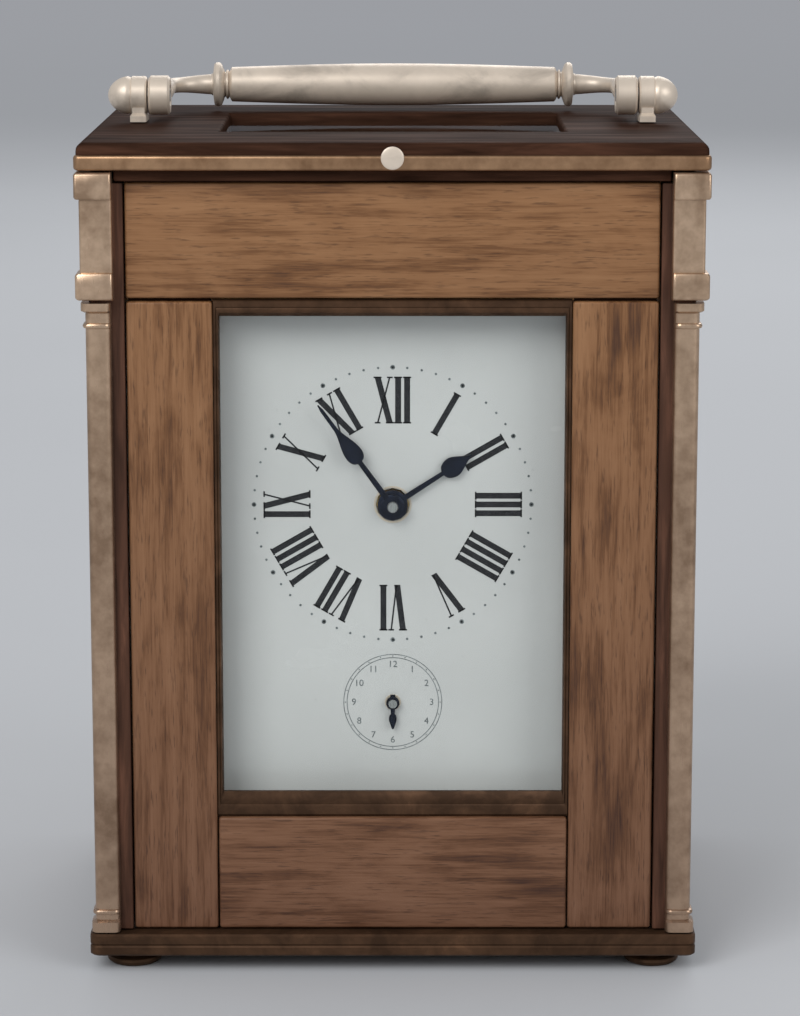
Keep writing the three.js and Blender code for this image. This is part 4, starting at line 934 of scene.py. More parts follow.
class CLOCK_OT_cornice(bpy.types.Operator):
    """Make the cornice: a brass band under a dark wood cap, open for the top glass, over a dark step"""

    bl_idname = "clock.cornice"
    bl_label = "Cornice"

    slab_low: length("Slab", "Height of the slab's underside", 0.1443)
    step_inset: length("Step inset", "Depth of the step under the slab", 0.0022)
    notch: length("Notch", "Room left for a corner block", 0.0068)
    seat: length("Glass seat", "Ledge under the top glass", 0.0015)
    rim: length("Band depth", "Depth of the brass band", 0.0026)
    setback: length("Setback", "From the band's face to the wood cap's", 0.0004)
    sink: length("Window round", "Radius of the cap's edge at the window", 0.0006)
    brass_share: number("Brass share", "The brass band's share of the slab's height", 0.56)

    def execute(self, context):
        low, high = box("cornice")
        glass_low, glass_high = box("top_glass")
        line = self.slab_low + (high[2] - self.slab_low) * self.brass_share
        big = context.scene.clock_case.cornice_round
        inner = high[0] - glass_high[0] - BURY
        cap = self.cap(line, high[2], big, inner, glass_low[2] - BURY)
        shells = [
            picture_frame(self.slab(line, big * 0.4), high[0], low[1], high[1], big * 0.8, "Z"),
            picture_frame(cap, high[0], low[1], high[1], big, "Z", 1),
            *self.steps(low, high, glass_high),
        ]
        instead("cornice", "_moulding", shells, ("cornice_brass", "dark_wood"))
        return {"FINISHED"}

    def slab(self, line, small):
        """The brass band's profile: back under the slab, out over a small round, up its face and in again."""
        inside = self.rim + small
        lower = arc(small, self.slab_low + small, small, -np.pi / 2, -np.pi)
        upper = arc(small, line - small, small, np.pi, np.pi / 2)
        return [(inside, self.slab_low), *lower, *upper, (inside, line)]

    def cap(self, line, top, big, inner, glass):
        """The wood cap's profile: a round up to a flat top, a round down to the window, the glass's ledge."""
        ledge = inner + self.seat
        under = [(ledge, self.slab_low), (self.rim, self.slab_low), (self.rim, line), (self.setback, line)]
        outside = arc(self.setback + big, top - big, big, np.pi, np.pi / 2)
        inside = arc(inner - self.sink, top - self.sink, self.sink, np.pi / 2, 0)
        return [*under, *outside, *inside, (inner, glass), (ledge, glass)]

    def steps(self, low, high, glass_high):
        """Four bars under the slab, between the corner blocks."""
        inner = glass_high + BURY - self.seat
        outer = high - self.step_inset
        reach = high - self.notch
        top = self.slab_low + BURY
        ends = [
            ((side * outer[0], -reach[1]), (side * inner[0], reach[1])) for side in (-1, 1)
        ] + [((-reach[0], side * outer[1]), (reach[0], side * inner[1])) for side in (-1, 1)]
        return [soft_block((*near, low[2]), (*far, top), BURY, 1) for near, far in ends]


class CLOCK_OT_base(bpy.types.Operator):
    """Make the base plate and the four low feet"""

    bl_idname = "clock.base"
    bl_label = "Base and feet"

    corner: length("Corner", "Radius of the base's corners", 0.0015)

    def execute(self, context):
        low, high = box("base_plate")
        height = high[2] - low[2]
        sections = []
        for share, pull in ((0, 0.08), (0.08, 0), (0.4, 0), (0.48, 0.06), (0.56, 0), (0.92, 0), (1, 0.08)):
            inset = pull * height
            x = (low[0] + inset, high[0] - inset)
            y = (low[1] + inset, high[1] - inset)
            sections.append((*x, *y, low[2] + share * height, self.corner))
        piece("base_moulding", [post(sections)], ["patinated_brass"], node="base_plate")
        for side in ("front_left", "front_right", "rear_left", "rear_right"):
            self.foot("foot_" + side)
        return {"FINISHED"}

    def foot(self, node):
        """A low turned foot: a rounded pad, a neck and a flange under the base."""
        low, high = box(node)
        middle = (low + high) / 2
        pad = [(0.8, 0), (0.9, 0.05), (0.97, 0.16), (1, 0.3), (0.97, 0.44), (0.88, 0.54)]
        neck = [(0.8, 0.6), (0.8, 0.68), (0.98, 0.74), (0.98, 1)]
        profile = drawn_profile(pad + neck, (high[0] - low[0]) / 2, low[2], high[2] - low[2])
        shell = turned(profile, middle[:2], "Z")
        instead(node, "_turned", [shell], ["patinated_brass"])


class CLOCK_OT_handle(bpy.types.Operator):
    """Make the swing handle, its two brackets and their pins"""

    bl_idname = "clock.handle"
    bl_label = "Handle"

    grip_radius: length("Grip", "Radius of the grip", 0.004)
    collar_radius: length("Collar", "Radius of the grip's collars", 0.0042)
    grip_half: length("Grip half", "Half the grip's length", 0.033)
    collar_width: length("Collar width", "Width of a collar", 0.002)
    arm_radius: length("Arm", "Radius of an arm", 0.002)
    bend: length("Bend", "Radius of the arm's bend", 0.007)
    eye_radius: length("Eye", "Radius of an eye", 0.0036)
    eye_half: length("Eye half", "Half the width of an eye", 0.00198)
    pin_radius: length("Pin", "Radius of a pin", 0.0013)
    arm_span: length("Arm span", "From the middle to an arm", 0.043)
    reach: length("Reach", "From the pins to the grip", 0.029)
    post_width: length("Post", "Width of a bracket's post", 0.003)

    def execute(self, context):
        height = axis_at("handle_swing", "X")[1]
        arm = self.arm(height)
        shells = [self.grip(context.scene.clock_case.grip_swell, height), *arm]
        shells += [shell.mirrored(LEFT) for shell in arm]
        moving("handle", shells, ["handle_brass"], "_turned")
        for side, signs in (("left", LEFT), ("right", (1, 1, 1))):
            name = "handle_bracket_" + side
            shells = [shell.mirrored(signs) for shell in self.bracket(height)]
            instead(name, "_turned", shells, ("handle_brass", "bright_steel"))
        return {"FINISHED"}

    def grip(self, swell, height):
        """A turned bar: its radius swells by a cosine towards the middle, between beads and collars."""
        width = self.collar_width
        inside = self.grip_half - width
        share = np.linspace(-1, 1, 41)
        body = list(zip(self.grip_radius - swell * (1 - np.cos(share * np.pi / 2)), share * inside))
        shoulder = body[-1][0]
        neck = shoulder * 0.72
        collar = self.collar_radius
        bead = arc(neck, 0.45, (width * 0.22, -0.15), np.pi / 2, -np.pi / 2, 7)
        end = [
            (shoulder * 0.92, 0.12), (neck, 0.28), *bead, (neck, 0.7), (collar - BURY, 1), (collar, 1.2),
            (collar, 1.5), (collar - BURY, 1.7), (neck * 0.9, 1.85), (neck * 0.85, 2),
        ]
        end = [(radius, inside + width * along) for radius, along in end]
        start = [(radius, -along) for radius, along in reversed(end)]
        return turned([*start, *body, *end], (self.reach, height), "X", MIDDLE_STEPS)

    def arm(self, height):
        """The right arm: straight from its eye, a quarter of a round bend, then into the grip's collar."""
        bend_x = self.arm_span - self.bend
        bend_y = self.reach - self.bend
        start = [(self.arm_span, y) for y in np.linspace(self.eye_radius * 0.6, bend_y, 8)[:-1]]
        bend = arc(bend_x, bend_y, self.bend, 0, np.pi / 2, 16)
        end = [(x, self.reach) for x in np.linspace(bend_x, self.grip_half, 5)[1:]]
        across, up = np.array(start + bend + end).T
        travelled = np.linspace(0, 1, len(across))
        radius = self.arm_radius * (0.86 + 0.14 * np.cos(travelled * 2 * np.pi))
        eye_start = self.arm_span - self.eye_half
        eye_end = self.arm_span + self.eye_half
        edge = self.eye_radius * 0.12
        bore = self.pin_radius + BURY
        return [
            tube(spread(across, up, height, "Z"), radius, (0, 0, 1), 20),
            flat_ring(bore, self.eye_radius, eye_start, eye_end, edge, (0, height), "X", MIDDLE_STEPS),
        ]

    def bracket(self, height):
        """The right bracket: a round head on a short post, its pin, and a domed knob outside."""
        low, high = box("handle_bracket_right")
        half = (high[1] - low[1]) / 2
        inner = self.arm_span + self.eye_half + BURY
        outer = inner + self.post_width
        centre = (0, height)
        wide = (inner, outer, -half, half)
        slim = (inner + BURY, outer - BURY, -half * 0.8, half * 0.8)
        sections = [
            (*wide, low[2], BURY), (*wide, low[2] + half * 0.3, BURY), (*slim, low[2] + half * 0.45, BURY),
            (*slim, height, BURY),
        ]
        knob = arc(0, outer, (half, high[0] - outer), 0.12, np.pi / 2 * 0.97, 14)
        return [
            post(sections),
            rod(half, centre, "X", inner, outer, 0, MIDDLE_STEPS, BURY),
            turned([(half * 0.9, outer - BURY), *knob], centre, "X", MIDDLE_STEPS),
            rod(self.pin_radius, centre, "X", self.arm_span - self.eye_half, inner + BURY, 1),
        ]


class CLOCK_OT_window(bpy.types.Operator):
    """Make the dark bevelled frame round the dial, and paint the glasses"""

    bl_idname = "clock.window"
    bl_label = "Window and glasses"

    side_width: length("Side width", "Width of the bezel's sides", 0.0009)
    top_width: length("Top width", "Width of the bezel's top", 0.003)
    bottom_width: length("Bottom width", "Width of the bezel's bottom", 0.0042)
    lap: length("Lap", "How far it reaches into the gap beside it", 0.00024)

    def execute(self, context):
        bezel = self.bezel(*box("window_bezel"))
        piece("window_moulding", [bezel], ["patinated_brass"], node="window_bezel")
        for name in ("front_glass", "side_glass_left", "side_glass_right", "top_glass", "rear_glass"):
            paint_node(name, "window_glass")
        return {"FINISHED"}

    def bezel(self, low, high):
        """Rectangles from the outer edge, over a flat and a round, down the slope to the sight edge and back.
        Each rectangle's sides, top and bottom move in by their own widths times the same share."""
        rows = []
        for share, depth in (
            (0, 1), (0, 0.2), (0.1, 0), (0.42, 0), (0.5, 0.12), (0.58, 0.06), (0.78, 0.12),
            (1, 0.55), (1, 1)
        ):
            half = high[0] + self.lap - share * (self.side_width + self.lap)
            z0 = low[2] - self.lap + share * (self.bottom_width + self.lap)
            z1 = high[2] - share * self.top_width
            rows.append((-half, half, z0, z1, low[1] + depth * (high[1] - low[1]), EDGE))
        return band(outlines(rows, "Y", 2))


class CLOCK_OT_rear_door(bpy.types.Operator):
    """Make the rear door: stiles and rails with a bead round the glass, pins and a knob"""

    bl_idname = "clock.rear_door"
    bl_label = "Rear door"

    pin_radius: length("Pin", "Radius of a pin", 0.0012)

    def execute(self, context):
        edge = context.scene.clock_case.panel_edge
        low, high = box("rear_door")
        glass_low, glass_high = box("rear_glass")
        frame_low, frame_high = box("side_frame_right")
        pin = axis_at("rear_door_swing", "Z")
        bottom = frame_low[2] + BURY
        top = frame_high[2]
        window = glass_high[0] + BURY
        z0 = glass_low[2] - BURY
        z1 = glass_high[2] + BURY

        def board(x0, x1, start, end, finish=0):
            return soft_block((x0, low[1], start), (x1, high[1], end), edge, finish)

        shells = [
            board(low[0], -window, bottom, top), board(window, high[0], bottom, top),
            board(-window, window, bottom, z0, 1), board(-window, window, z1, top, 1),
            rod(self.pin_radius, pin, "Z", low[2], bottom + edge, 2),
            rod(self.pin_radius, pin, "Z", top - edge, high[2], 2),
            glazing_bead(high[1], glass_high[1], -1, self.pin_radius * 0.7, (window, z0, z1), "Y", 3),
        ]
        used = ("wood_upright", "wood_level", "corner_brass", "patinated_brass")
        moving("rear_door", shells, used, "_boards")
        self.knob(*box("door_knob"))
        return {"FINISHED"}

    def knob(self, low, high):
        """A turned knob: a rose, a neck and a domed head."""
        middle = (low + high) / 2
        neck = [(0.78, 0), (0.78, 0.1), (0.5, 0.16), (0.42, 0.3), (0.42, 0.44), (0.7, 0.54)]
        dome = arc(0, 0.66, (1, 0.34), -0.3, np.pi / 2 * 0.94, 12)
        profile = drawn_profile(neck + dome, (high[0] - low[0]) / 2, low[1], high[1] - low[1])
        shell = turned(profile, middle[[0, 2]], "Y", MIDDLE_STEPS)
        instead("door_knob", "_turned", [shell], ["handle_brass"], "rear_door")


class CLOCK_OT_button(bpy.types.Operator):
    """Make the repeat button with its stem and collar"""

    bl_idname = "clock.button"
    bl_label = "Repeat button"

    stem_radius: length("Stem", "Radius of the stem", 0.0009)
    travel: length("Travel", "How far it is pushed", 0.002)

    def execute(self, context):
        low, high = box("repeat_button")
        centre = (0, (low[2] + high[2]) / 2)
        radius = (high[2] - low[2]) / 2
        stem = self.stem_radius
        face = box("cornice")[0][1]
        back = face - self.travel - BURY
        crown = (back - low[1]) * 0.9
        dome = arc(0, low[1] + crown, (radius, -crown), np.pi / 2 - 0.2, 0, 8)
        foot = [(stem * 1.3, high[1] - stem), (stem * 1.3, high[1])]
        profile = [*dome, (radius, back), (stem, back), (stem, high[1] - stem), *foot]
        shell = turned(profile, centre, "Y", MIDDLE_STEPS)
        moving("repeat_button", [shell], ["handle_brass"], "_turned")
        collar = flat_ring(stem + BURY, stem * 2, face, face + BURY * 2, BURY / 2, centre, "Y", MIDDLE_STEPS)
        piece("repeat_button_ring", [collar], ["patinated_brass"])
        return {"FINISHED"}


# The dial and the hands

HOURS = ("XII", "I", "II", "III", "IIII", "V", "VI", "VII", "VIII", "IX", "X", "XI")
THIN_SHARE = 0.26
SERIF_INSET = 0.015

# Each letter's room, its strokes as x and y of both ends and whether they are thick, and its serifs as x, y
# and half width, all in shares of its height
LETTERS = {
    "I": (0.19, [(0, 0, 0, 1, True)], [(0, 0, 0.085), (0, 1, 0.085)]),
    "V": (0.4, [(-0.125, 1, 0, 0, True), (0.13, 1, 0.015, 0, False)], [(-0.125, 1, 0.085), (0.13, 1, 0.06)]),
    "X": (
        0.42,
        [(-0.13, 1, 0.13, 0, True), (0.13, 1, -0.13, 0, False)],
        [(-0.13, 1, 0.085), (0.13, 1, 0.06), (-0.13, 0, 0.06), (0.13, 0, 0.085)],
    ),
}

# Each hand's length, stalk width, bulge, the bulge's place as a share and tail, then the angle it points at,
# its hub's radius, and the joint and the body that turn it
HANDS = {
    "hour_hand": ((0.0168, 0.0011, 0.0018, 0.76, 0), 57, 0.0027, "centre_arbor_turn", "hour_wheel"),
    "minute_hand": ((0.0226, 0.0011, 0.0016, 0.52, 0), -36, 0.0021, "centre_arbor_turn", "centre_arbor"),
    "alarm_hand": ((0.0048, 0.0009, 0.0007, 0.6, 0.0016), 180, 0.0012, "alarm_setting_turn", "alarm_arbor"),
}


def clockwise(across, out, centre, turn):
    """Places beside and out along a line that leaves the centre straight up and is then turned clockwise."""
    x = centre[0] + across * np.cos(turn) + out * np.sin(turn)
    z = centre[1] - across * np.sin(turn) + out * np.cos(turn)
    return x, z


def numeral_strokes(word, height, stem):
    """An hour's strokes as x and y of both ends and the width. Its serifs are thin level strokes."""
    advances = np.array([LETTERS[letter][0] for letter in word])
    centres = np.cumsum(advances) - advances / 2 - advances.sum() / 2
    rows = []
    for letter, centre in zip(word, centres):
        strokes, serifs = LETTERS[letter][1:]
        levels = [(x, abs(y - SERIF_INSET), half) for x, y, half in serifs]
        thin = [(x - half, y, x + half, y, False) for x, y, half in levels]
        for x0, y0, x1, y1, thick in strokes + thin:
            ends = np.array((centre + x0, y0, centre + x1, y1)) * height
            rows.append((*ends, stem if thick else stem * THIN_SHARE))
    return np.array(rows)


def stroke_corners(rows):
    """Each stroke's four corners: both ends, half the width to each side. A sloping stroke is cut level."""
    start = rows[:, 0:2]
    end = rows[:, 2:4]
    along = end - start
    length = np.linalg.norm(along, axis=1, keepdims=True)
    rise = np.abs(along[:, 1:2])
    side = np.stack([-along[:, 1], along[:, 0]], axis=-1) / length
    level = np.array((1, 0)) * length / np.maximum(rise, 1e-9)
    half = np.where(rise > np.abs(along[:, 0:1]), level, side) * rows[:, 4:5] / 2
    return np.stack([start - half, end - half, end + half, start + half], axis=1)


def ink_boxes(corners, centre, face, turn, inner):
    """Flat boxes of ink from a numeral's corners, set out by the inner radius and turned round the dial."""
    x, z = clockwise(corners[..., 0], corners[..., 1] + inner, centre, turn)
    layers = [spread(x, z, depth, "Y") for depth in (face - INK_HEIGHT, face + INK_HEIGHT)]
    return [loft(rings) for rings in np.stack(layers, axis=1)]


def ink_dots(radius, ring, count, centre, face):
    """Round dots of ink evenly round a ring."""
    profile = [(radius, face - INK_HEIGHT), (radius, face + INK_HEIGHT)]
    return [turned(profile, clockwise(0, ring, centre, turn), "Y", 12) for turn in circle(count)]


def ink_ring(radius, width, centre, face):
    """A thin ring of ink."""
    outer = radius + width
    front = face - INK_HEIGHT
    back = face + INK_HEIGHT
    profile = [(radius, front), (outer, front), (outer, back), (radius, back)]
    return turned_ring(profile, centre, "Y", ROUND_STEPS * 2)


class CLOCK_OT_dial(bpy.types.Operator):
    """Paint the enamel dial and make its hours, minute dots and alarm ring"""

    bl_idname = "clock.dial"
    bl_label = "Dial"

    minute_dot: length("Minute dot", "Radius of a minute dot", 0.00022)
    hour_dot: length("Hour dot", "Radius of the dot at an hour", 0.00042)
    alarm_height: length("Alarm numbers", "Height of the alarm numbers", 0.0017)
    line: length("Line", "Width of a thin line", 0.00012)
    centre_hole: length("Centre hole", "Radius of the hole for the hands", 0.003)
    alarm_hole: length("Alarm hole", "Radius of the hole for the alarm arbor", 0.0011)

    def execute(self, context):
        sizes = context.scene.clock_dial
        paint_node("dial", "white_enamel")
        face = box("dial")[0][1]
        centre = axis_at("centre_arbor_turn")
        alarm = axis_at("alarm_setting_turn")
        inside = sizes.hours_inside
        hours = []
        for k, word in enumerate(HOURS):
            strokes = numeral_strokes(word, sizes.hours_outside - inside, sizes.stem_width)
            hours += ink_boxes(stroke_corners(strokes), centre, face, k * np.pi / 6, inside)
        piece("dial_hours", hours, ["dial_ink"])
        minutes = ink_dots(self.minute_dot, sizes.minute_radius, 60, centre, face)
        minutes += ink_dots(self.hour_dot, sizes.minute_radius, 12, centre, face)
        piece("dial_minutes", minutes, ["dial_ink_pale"])
        self.alarm_dial(alarm, face, sizes.alarm_ring)
        rims = []
        for place, radius in ((centre, self.centre_hole), (alarm, self.alarm_hole)):
            outer = radius + self.line * 3
            rims.append(flat_ring(radius, outer, face - self.line, face + self.line, BURY / 8, place, "Y"))
        piece("dial_hole_rims", rims, ["handle_brass"])
        return {"FINISHED"}

    def alarm_dial(self, centre, face, ring):
        """The small dial: a thin double ring, a dot at each half hour and numbers from 1 to 12."""
        shells = [
            ink_ring(ring, self.line, centre, face),
            ink_ring(ring - self.line * 5, self.line, centre, face),
            *ink_dots(self.line * 0.9, ring - self.line * 2, 24, centre, face),
        ]
        piece("alarm_ring", shells, ["dial_ink_pale"])
        place = ring - self.line * 7 - self.alarm_height * 0.55
        for hour in range(1, 13):
            self.number(str(hour), clockwise(0, place, centre, hour * np.pi / 6), face)

    def number(self, text, spot, face):
        """One upright number in the built-in type, made a flat mesh before it is set in its place."""
        curve = bpy.data.curves.new("number", "FONT")
        curve.body = text
        curve.size = self.alarm_height
        curve.align_x = "CENTER"
        curve.align_y = "CENTER"
        curve.extrude = INK_HEIGHT
        maker = shown("number_maker", curve)
        mesh = bpy.data.meshes.new_from_object(maker)
        bpy.data.objects.remove(maker)
        points = np.zeros(len(mesh.vertices) * 3)
        mesh.vertices.foreach_get("co", points)
        across, up, out = points.reshape(-1, 3).T
        mesh.vertices.foreach_set("co", spread(spot[0] + across, spot[1] + up, face - out, "Y").ravel())
        mesh.materials.clear()
        put("alarm_number_" + text, mesh, ["dial_ink_pale"])


def hand_outline(length, root, bulge, bulge_at, tail, tip):
    """A pear hand's outline, up one side and down the other. Its half width goes along a slim stalk that
    narrows, half an ellipse up to the bulge, then a smooth step down to the stalk and a taper to the tip."""
    along = np.linspace(-tail, length, 140)
    share = np.clip(along / length, 0, 1)
    stalk = root * (1 - 0.45 * share) / 2
    below = (bulge_at - share) * length / (bulge * 1.15)
    above = (share - bulge_at) / min(bulge / length * 3.6, (1 - bulge_at) * 0.95)
    rise = np.where(below > 0, np.sqrt(np.clip(1 - below**2, 0, 1)), 1 - smooth(above))
    pear = stalk + (bulge - stalk) * rise
    half = tip + (pear - tip) * smooth((1 - share) / 0.06)
    return np.concatenate([half, -half[::-1]]), np.concatenate([along, along[::-1]])


class CLOCK_OT_hands(bpy.types.Operator):
    """Make the three blued hands with their hubs"""

    bl_idname = "clock.hands"
    bl_label = "Hands"

    tip: length("Tip", "Half width of a tip", 0.00012)

    def execute(self, context):
        for node, row in HANDS.items():
            self.hand(node, *row)
        return {"FINISHED"}

    def hand(self, node, form, degrees, hub, joint, body):
        """A flat blade on a domed hub. The minute hand's nut stands out in front."""
        low, high = box(node)
        centre = axis_at(joint)
        front = low[1]
        thickness = high[1] - front
        edge = thickness * 0.1
        blade = clockwise(*hand_outline(*form, self.tip), centre, np.radians(degrees))
        boss = [(hub * 0.82, front), (hub, front + thickness * 0.35), (hub, high[1])]
        shells = [plate(blade, front + edge, high[1] - edge, "Y", edge * 2), turned(boss, centre, "Y")]
        if node == "minute_hand":
            nut = [(hub * 0.34, front - thickness / 2), (hub / 2, front), (hub / 2, high[1])]
            shells.append(turned(nut, centre, "Y"))
        instead(node, "_blued", shells, ["blued_metal"], body)


# The movement

PILLARS = ("lower_left", "lower_right", "upper_left", "upper_right")

# How far back each wheel lies, as a share of the room between the plates
CENTRE_PLACE = 0.8125
THIRD_PLACE = 0.475
CONTRATE_PLACE = 0.7


class CLOCK_OT_plates(bpy.types.Operator):
    """Paint the two plates and make the pillars and their screws"""

    bl_idname = "clock.plates"
    bl_label = "Plates and pillars"

    screw_radius: length("Screw", "Radius of a pillar's screw", 0.0019)
    screw_height: length("Screw height", "Height of a screw's head", 0.0009)

    def execute(self, context):
        paint_node("front_plate", "plate_brass")
        paint_node("back_plate", "plate_brass")
        back = box("back_plate")[1][1]
        front = box("front_plate")[0][1]
        height = self.screw_height
        screws = []
        for k, side in enumerate(PILLARS):
            low, high = box("pillar_" + side)
            centre = ((low + high) / 2)[[0, 2]]
            self.pillar("pillar_" + side, centre, (high[2] - low[2]) / 2, low[1], high[1])
            for face, rise, turn in ((back, height, 0.5 + k * 0.7), (front, -height, 1.1 + k * 0.6)):
                screws.append(screw_head(centre, "Y", face, rise, self.screw_radius, turn))
        piece("plate_screws", screws, ["blued_metal"])
        return {"FINISHED"}

    def pillar(self, node, centre, radius, start, end):
        """A turned pillar: flanges at both ends, a groove, and a body that swells a little in the middle."""
        share = np.linspace(0.12, 0.88, 25)
        body = drawn_profile(zip(0.78 + 0.1 * np.sin(np.pi * share), share), radius, start, end - start)
        flange = [(0.96, 0), (1, 0.006), (1, 0.045), (0.9, 0.05), (0.7, 0.06), (0.7, 0.09)]
        first = drawn_profile(flange, radius, start, end - start)
        last = drawn_profile(reversed(flange), radius, end, start - end)
        shell = turned(first + body + last, centre, "Y", MIDDLE_STEPS)
        instead(node, "_turned", [shell], ["wheel_brass"])


def direction(start, end):
    """The angle from one axis to the next."""
    return np.arctan2(end[1] - start[1], end[0] - start[0])


def facing_gap(teeth, along):
    """The angle for a wheel whose gap faces a tooth that points at it along the angle given."""
    return along + np.pi + np.pi / teeth


def arbor(node, centre):
    """The steel rod that a wheel turns on, as long as its node."""
    low, high = box(node)
    return rod(ARBOR_RADIUS, centre, "Y", low[1], high[1], 1)


class CLOCK_OT_train(bpy.types.Operator):
    """Make the going train: barrels, centre, third and contrate wheels, and the motion work"""

    bl_idname = "clock.train"
    bl_label = "Train"

    drum_radius: length("Drum", "Radius of a barrel's drum", 0.0133)
    winder_radius: length("Winder", "Radius of a winding arbor", 0.002)
    hub_radius: length("Hub", "Radius of a wheel's hub", 0.0024)

    def execute(self, context):
        self.back = box("front_plate")[1][1]
        self.room = box("back_plate")[0][1] - self.back
        self.centre = axis_at("centre_arbor_turn")
        self.third = axis_at("third_wheel_turn")
        self.contrate = axis_at("contrate_wheel_turn")
        self.great = direction(axis_at("going_barrel_turn"), self.centre)
        self.barrel("going_barrel", -1, facing_gap(GREAT_TEETH, self.great + np.pi))
        self.barrel("strike_barrel", 1, 0)
        self.alarm_barrel()
        for side in ("going", "strike"):
            node = "winding_arbor_" + side
            low, high = box(node)
            shells = self.winder(axis_at("winding_" + side + "_turn"), low[1], high[1])
            moving(node, shells, ["bright_steel"], "_turned")
        self.going_train()
        self.contrate_wheel()
        self.motion_work()
        paint_node("alarm_arbor", "bright_steel")
        return {"FINISHED"}

    def place(self, share):
        return self.back + share * self.room

    def drum(self, centre, radius, start, end, bore):
        """A drum with a raised rim and a sunk cap at each end, bored for its arbor."""
        rim = radius * 0.08
        sunk = rim * 0.35
        half = [
            (bore, sunk), (radius - rim, sunk), (radius - rim, 0), (radius - sunk * 0.5, 0),
            (radius, sunk * 0.5),
        ]
        profile = [(out, start + up) for out, up in half] + [(out, end - up) for out, up in reversed(half)]
        return turned_ring(profile, centre, "Y")

    def barrel(self, node, facing, pointing):
        """A barrel is its drum, its great wheel at the front or at the back, a boss and three screws."""
        low, high = box(node)
        centre = axis_at(node + "_turn")
        bore = self.winder_radius + BURY
        face = low[1] if facing < 0 else high[1]
        start = min(face, high[1] - GREAT_THICKNESS)
        rings = toothed_rings(
            GREAT_TEETH, GREAT_MODULE, pointing, bore, centre, start, start + GREAT_THICKNESS
        )
        shells = [
            self.drum(centre, self.drum_radius, low[1], high[1], bore),
            band(rings),
            flat_ring(bore, bore * 1.9, low[1] - BURY, low[1] + BURY, BURY / 2, centre, "Y"),
        ]
        screw_ring = (self.drum_radius + GREAT_TEETH * GREAT_MODULE / 2) / 2
        for turn in circle(3) + 0.4:
            spot = centre + screw_ring * np.array((np.cos(turn), np.sin(turn)))
            shells.append(screw_head(spot, "Y", face, facing * BURY, self.winder_radius / 2, turn, 1))
        moving(node, shells, ("wheel_brass", "blued_metal"), ending="_turned")

    def alarm_barrel(self):
        """The alarm's drum on its own winding arbor."""
        low, high = box("alarm_barrel")
        centre = axis_at("alarm_winding_turn")
        start = self.place(0.325)
        radius = (high[0] - low[0]) / 2
        shells = [
            self.drum(centre, radius, start, start + self.room * 0.45, self.winder_radius * 0.9),
            *self.winder(centre, low[1], high[1], 1),
        ]
        moving("alarm_barrel", shells, ending="_turned")

    def winder(self, centre, start, end, finish=0):
        """A winding arbor: a round rod that ends in a square with cut corners."""
        square = box("back_plate")[1][1] + WHEEL_THICKNESS * 2
        half = self.winder_radius * 0.62
        edge = half * 0.15
        across, up = rounded_rectangle(half, half, half * 0.2, 3)
        return [
            rod(self.winder_radius, centre, "Y", start, square, finish),
            plate((centre[0] + across, centre[1] + up), square - edge * 2, end, "Y", edge, finish),
        ]

    def going_train(self):
        """The centre arbor with its wheel and the cannon pinion, and the third wheel."""
        great_middle = self.back + GREAT_SETBACK + GREAT_THICKNESS / 2
        centre_start = self.place(CENTRE_PLACE)
        along = direction(self.centre, self.third)
        onward = direction(self.third, self.contrate)
        cannon_end = box("minute_wheel")[1][1]
        cannon_start = cannon_end - WHEEL_THICKNESS * 2.6
        cannon_turn = direction(self.centre, axis_at("minute_wheel_turn"))
        meshing = facing_gap(CENTRE_TEETH, along + np.pi)
        shells = [
            arbor("centre_arbor", self.centre),
            pinion_at(CENTRE_PINION_LEAVES, GREAT_MODULE, self.great + np.pi, self.centre, great_middle),
            *wheel(CENTRE_TEETH, TRAIN_MODULE, meshing, self.centre, centre_start, self.hub_radius),
            pinion(CANNON_LEAVES, MOTION_MODULE, cannon_turn, self.centre, cannon_start, cannon_end),
        ]
        moving("centre_arbor", shells, ending="_wheels")
        middle = centre_start + WHEEL_THICKNESS / 2
        meshing = facing_gap(THIRD_TEETH, onward + np.pi)
        third_start = self.place(THIRD_PLACE)
        shells = [
            arbor("third_wheel", self.third),
            pinion_at(THIRD_PINION_LEAVES, TRAIN_MODULE, along + np.pi, self.third, middle),
            *wheel(THIRD_TEETH, TRAIN_MODULE, meshing, self.third, third_start, self.hub_radius),
        ]
        moving("third_wheel", shells)

    def contrate_wheel(self):
        """A dished wheel whose teeth stand up from its rim, along the arbor."""
        node = "contrate_wheel"
        low, high = box(node)
        outer = (high[0] - low[0]) / 2
        inner = outer - WHEEL_RIM * 1.1
        hub = ARBOR_RADIUS * 2.2
        start = self.place(CONTRATE_PLACE)
        end = start + WHEEL_THICKNESS * 1.2
        along = direction(self.third, self.contrate)
        middle = self.place(THIRD_PLACE) + WHEEL_THICKNESS / 2
        angle = circle(CONTRATE_TEETH * TOOTH_STEPS)
        crown = end + WHEEL_THICKNESS * 1.4 * smooth(0.4 + 1.2 * np.cos(CONTRATE_TEETH * angle))
        level = np.full_like(angle, start)
        wall = [(inner, level), (outer, level), (outer, crown), (inner, crown)]
        shells = [
            band(rim_rings(wall, self.contrate, -angle, "Y")),
            rod(hub, self.contrate, "Y", start - BURY, end, 0, ROUND_STEPS, EDGE),
            arbor(node, self.contrate),
            pinion_at(CONTRATE_PINION_LEAVES, TRAIN_MODULE, along + np.pi, self.contrate, middle),
            *spokes(CROSSING, self.contrate, hub * 0.6, inner + BURY, hub * 0.5, start, end),
        ]
        moving(node, shells)

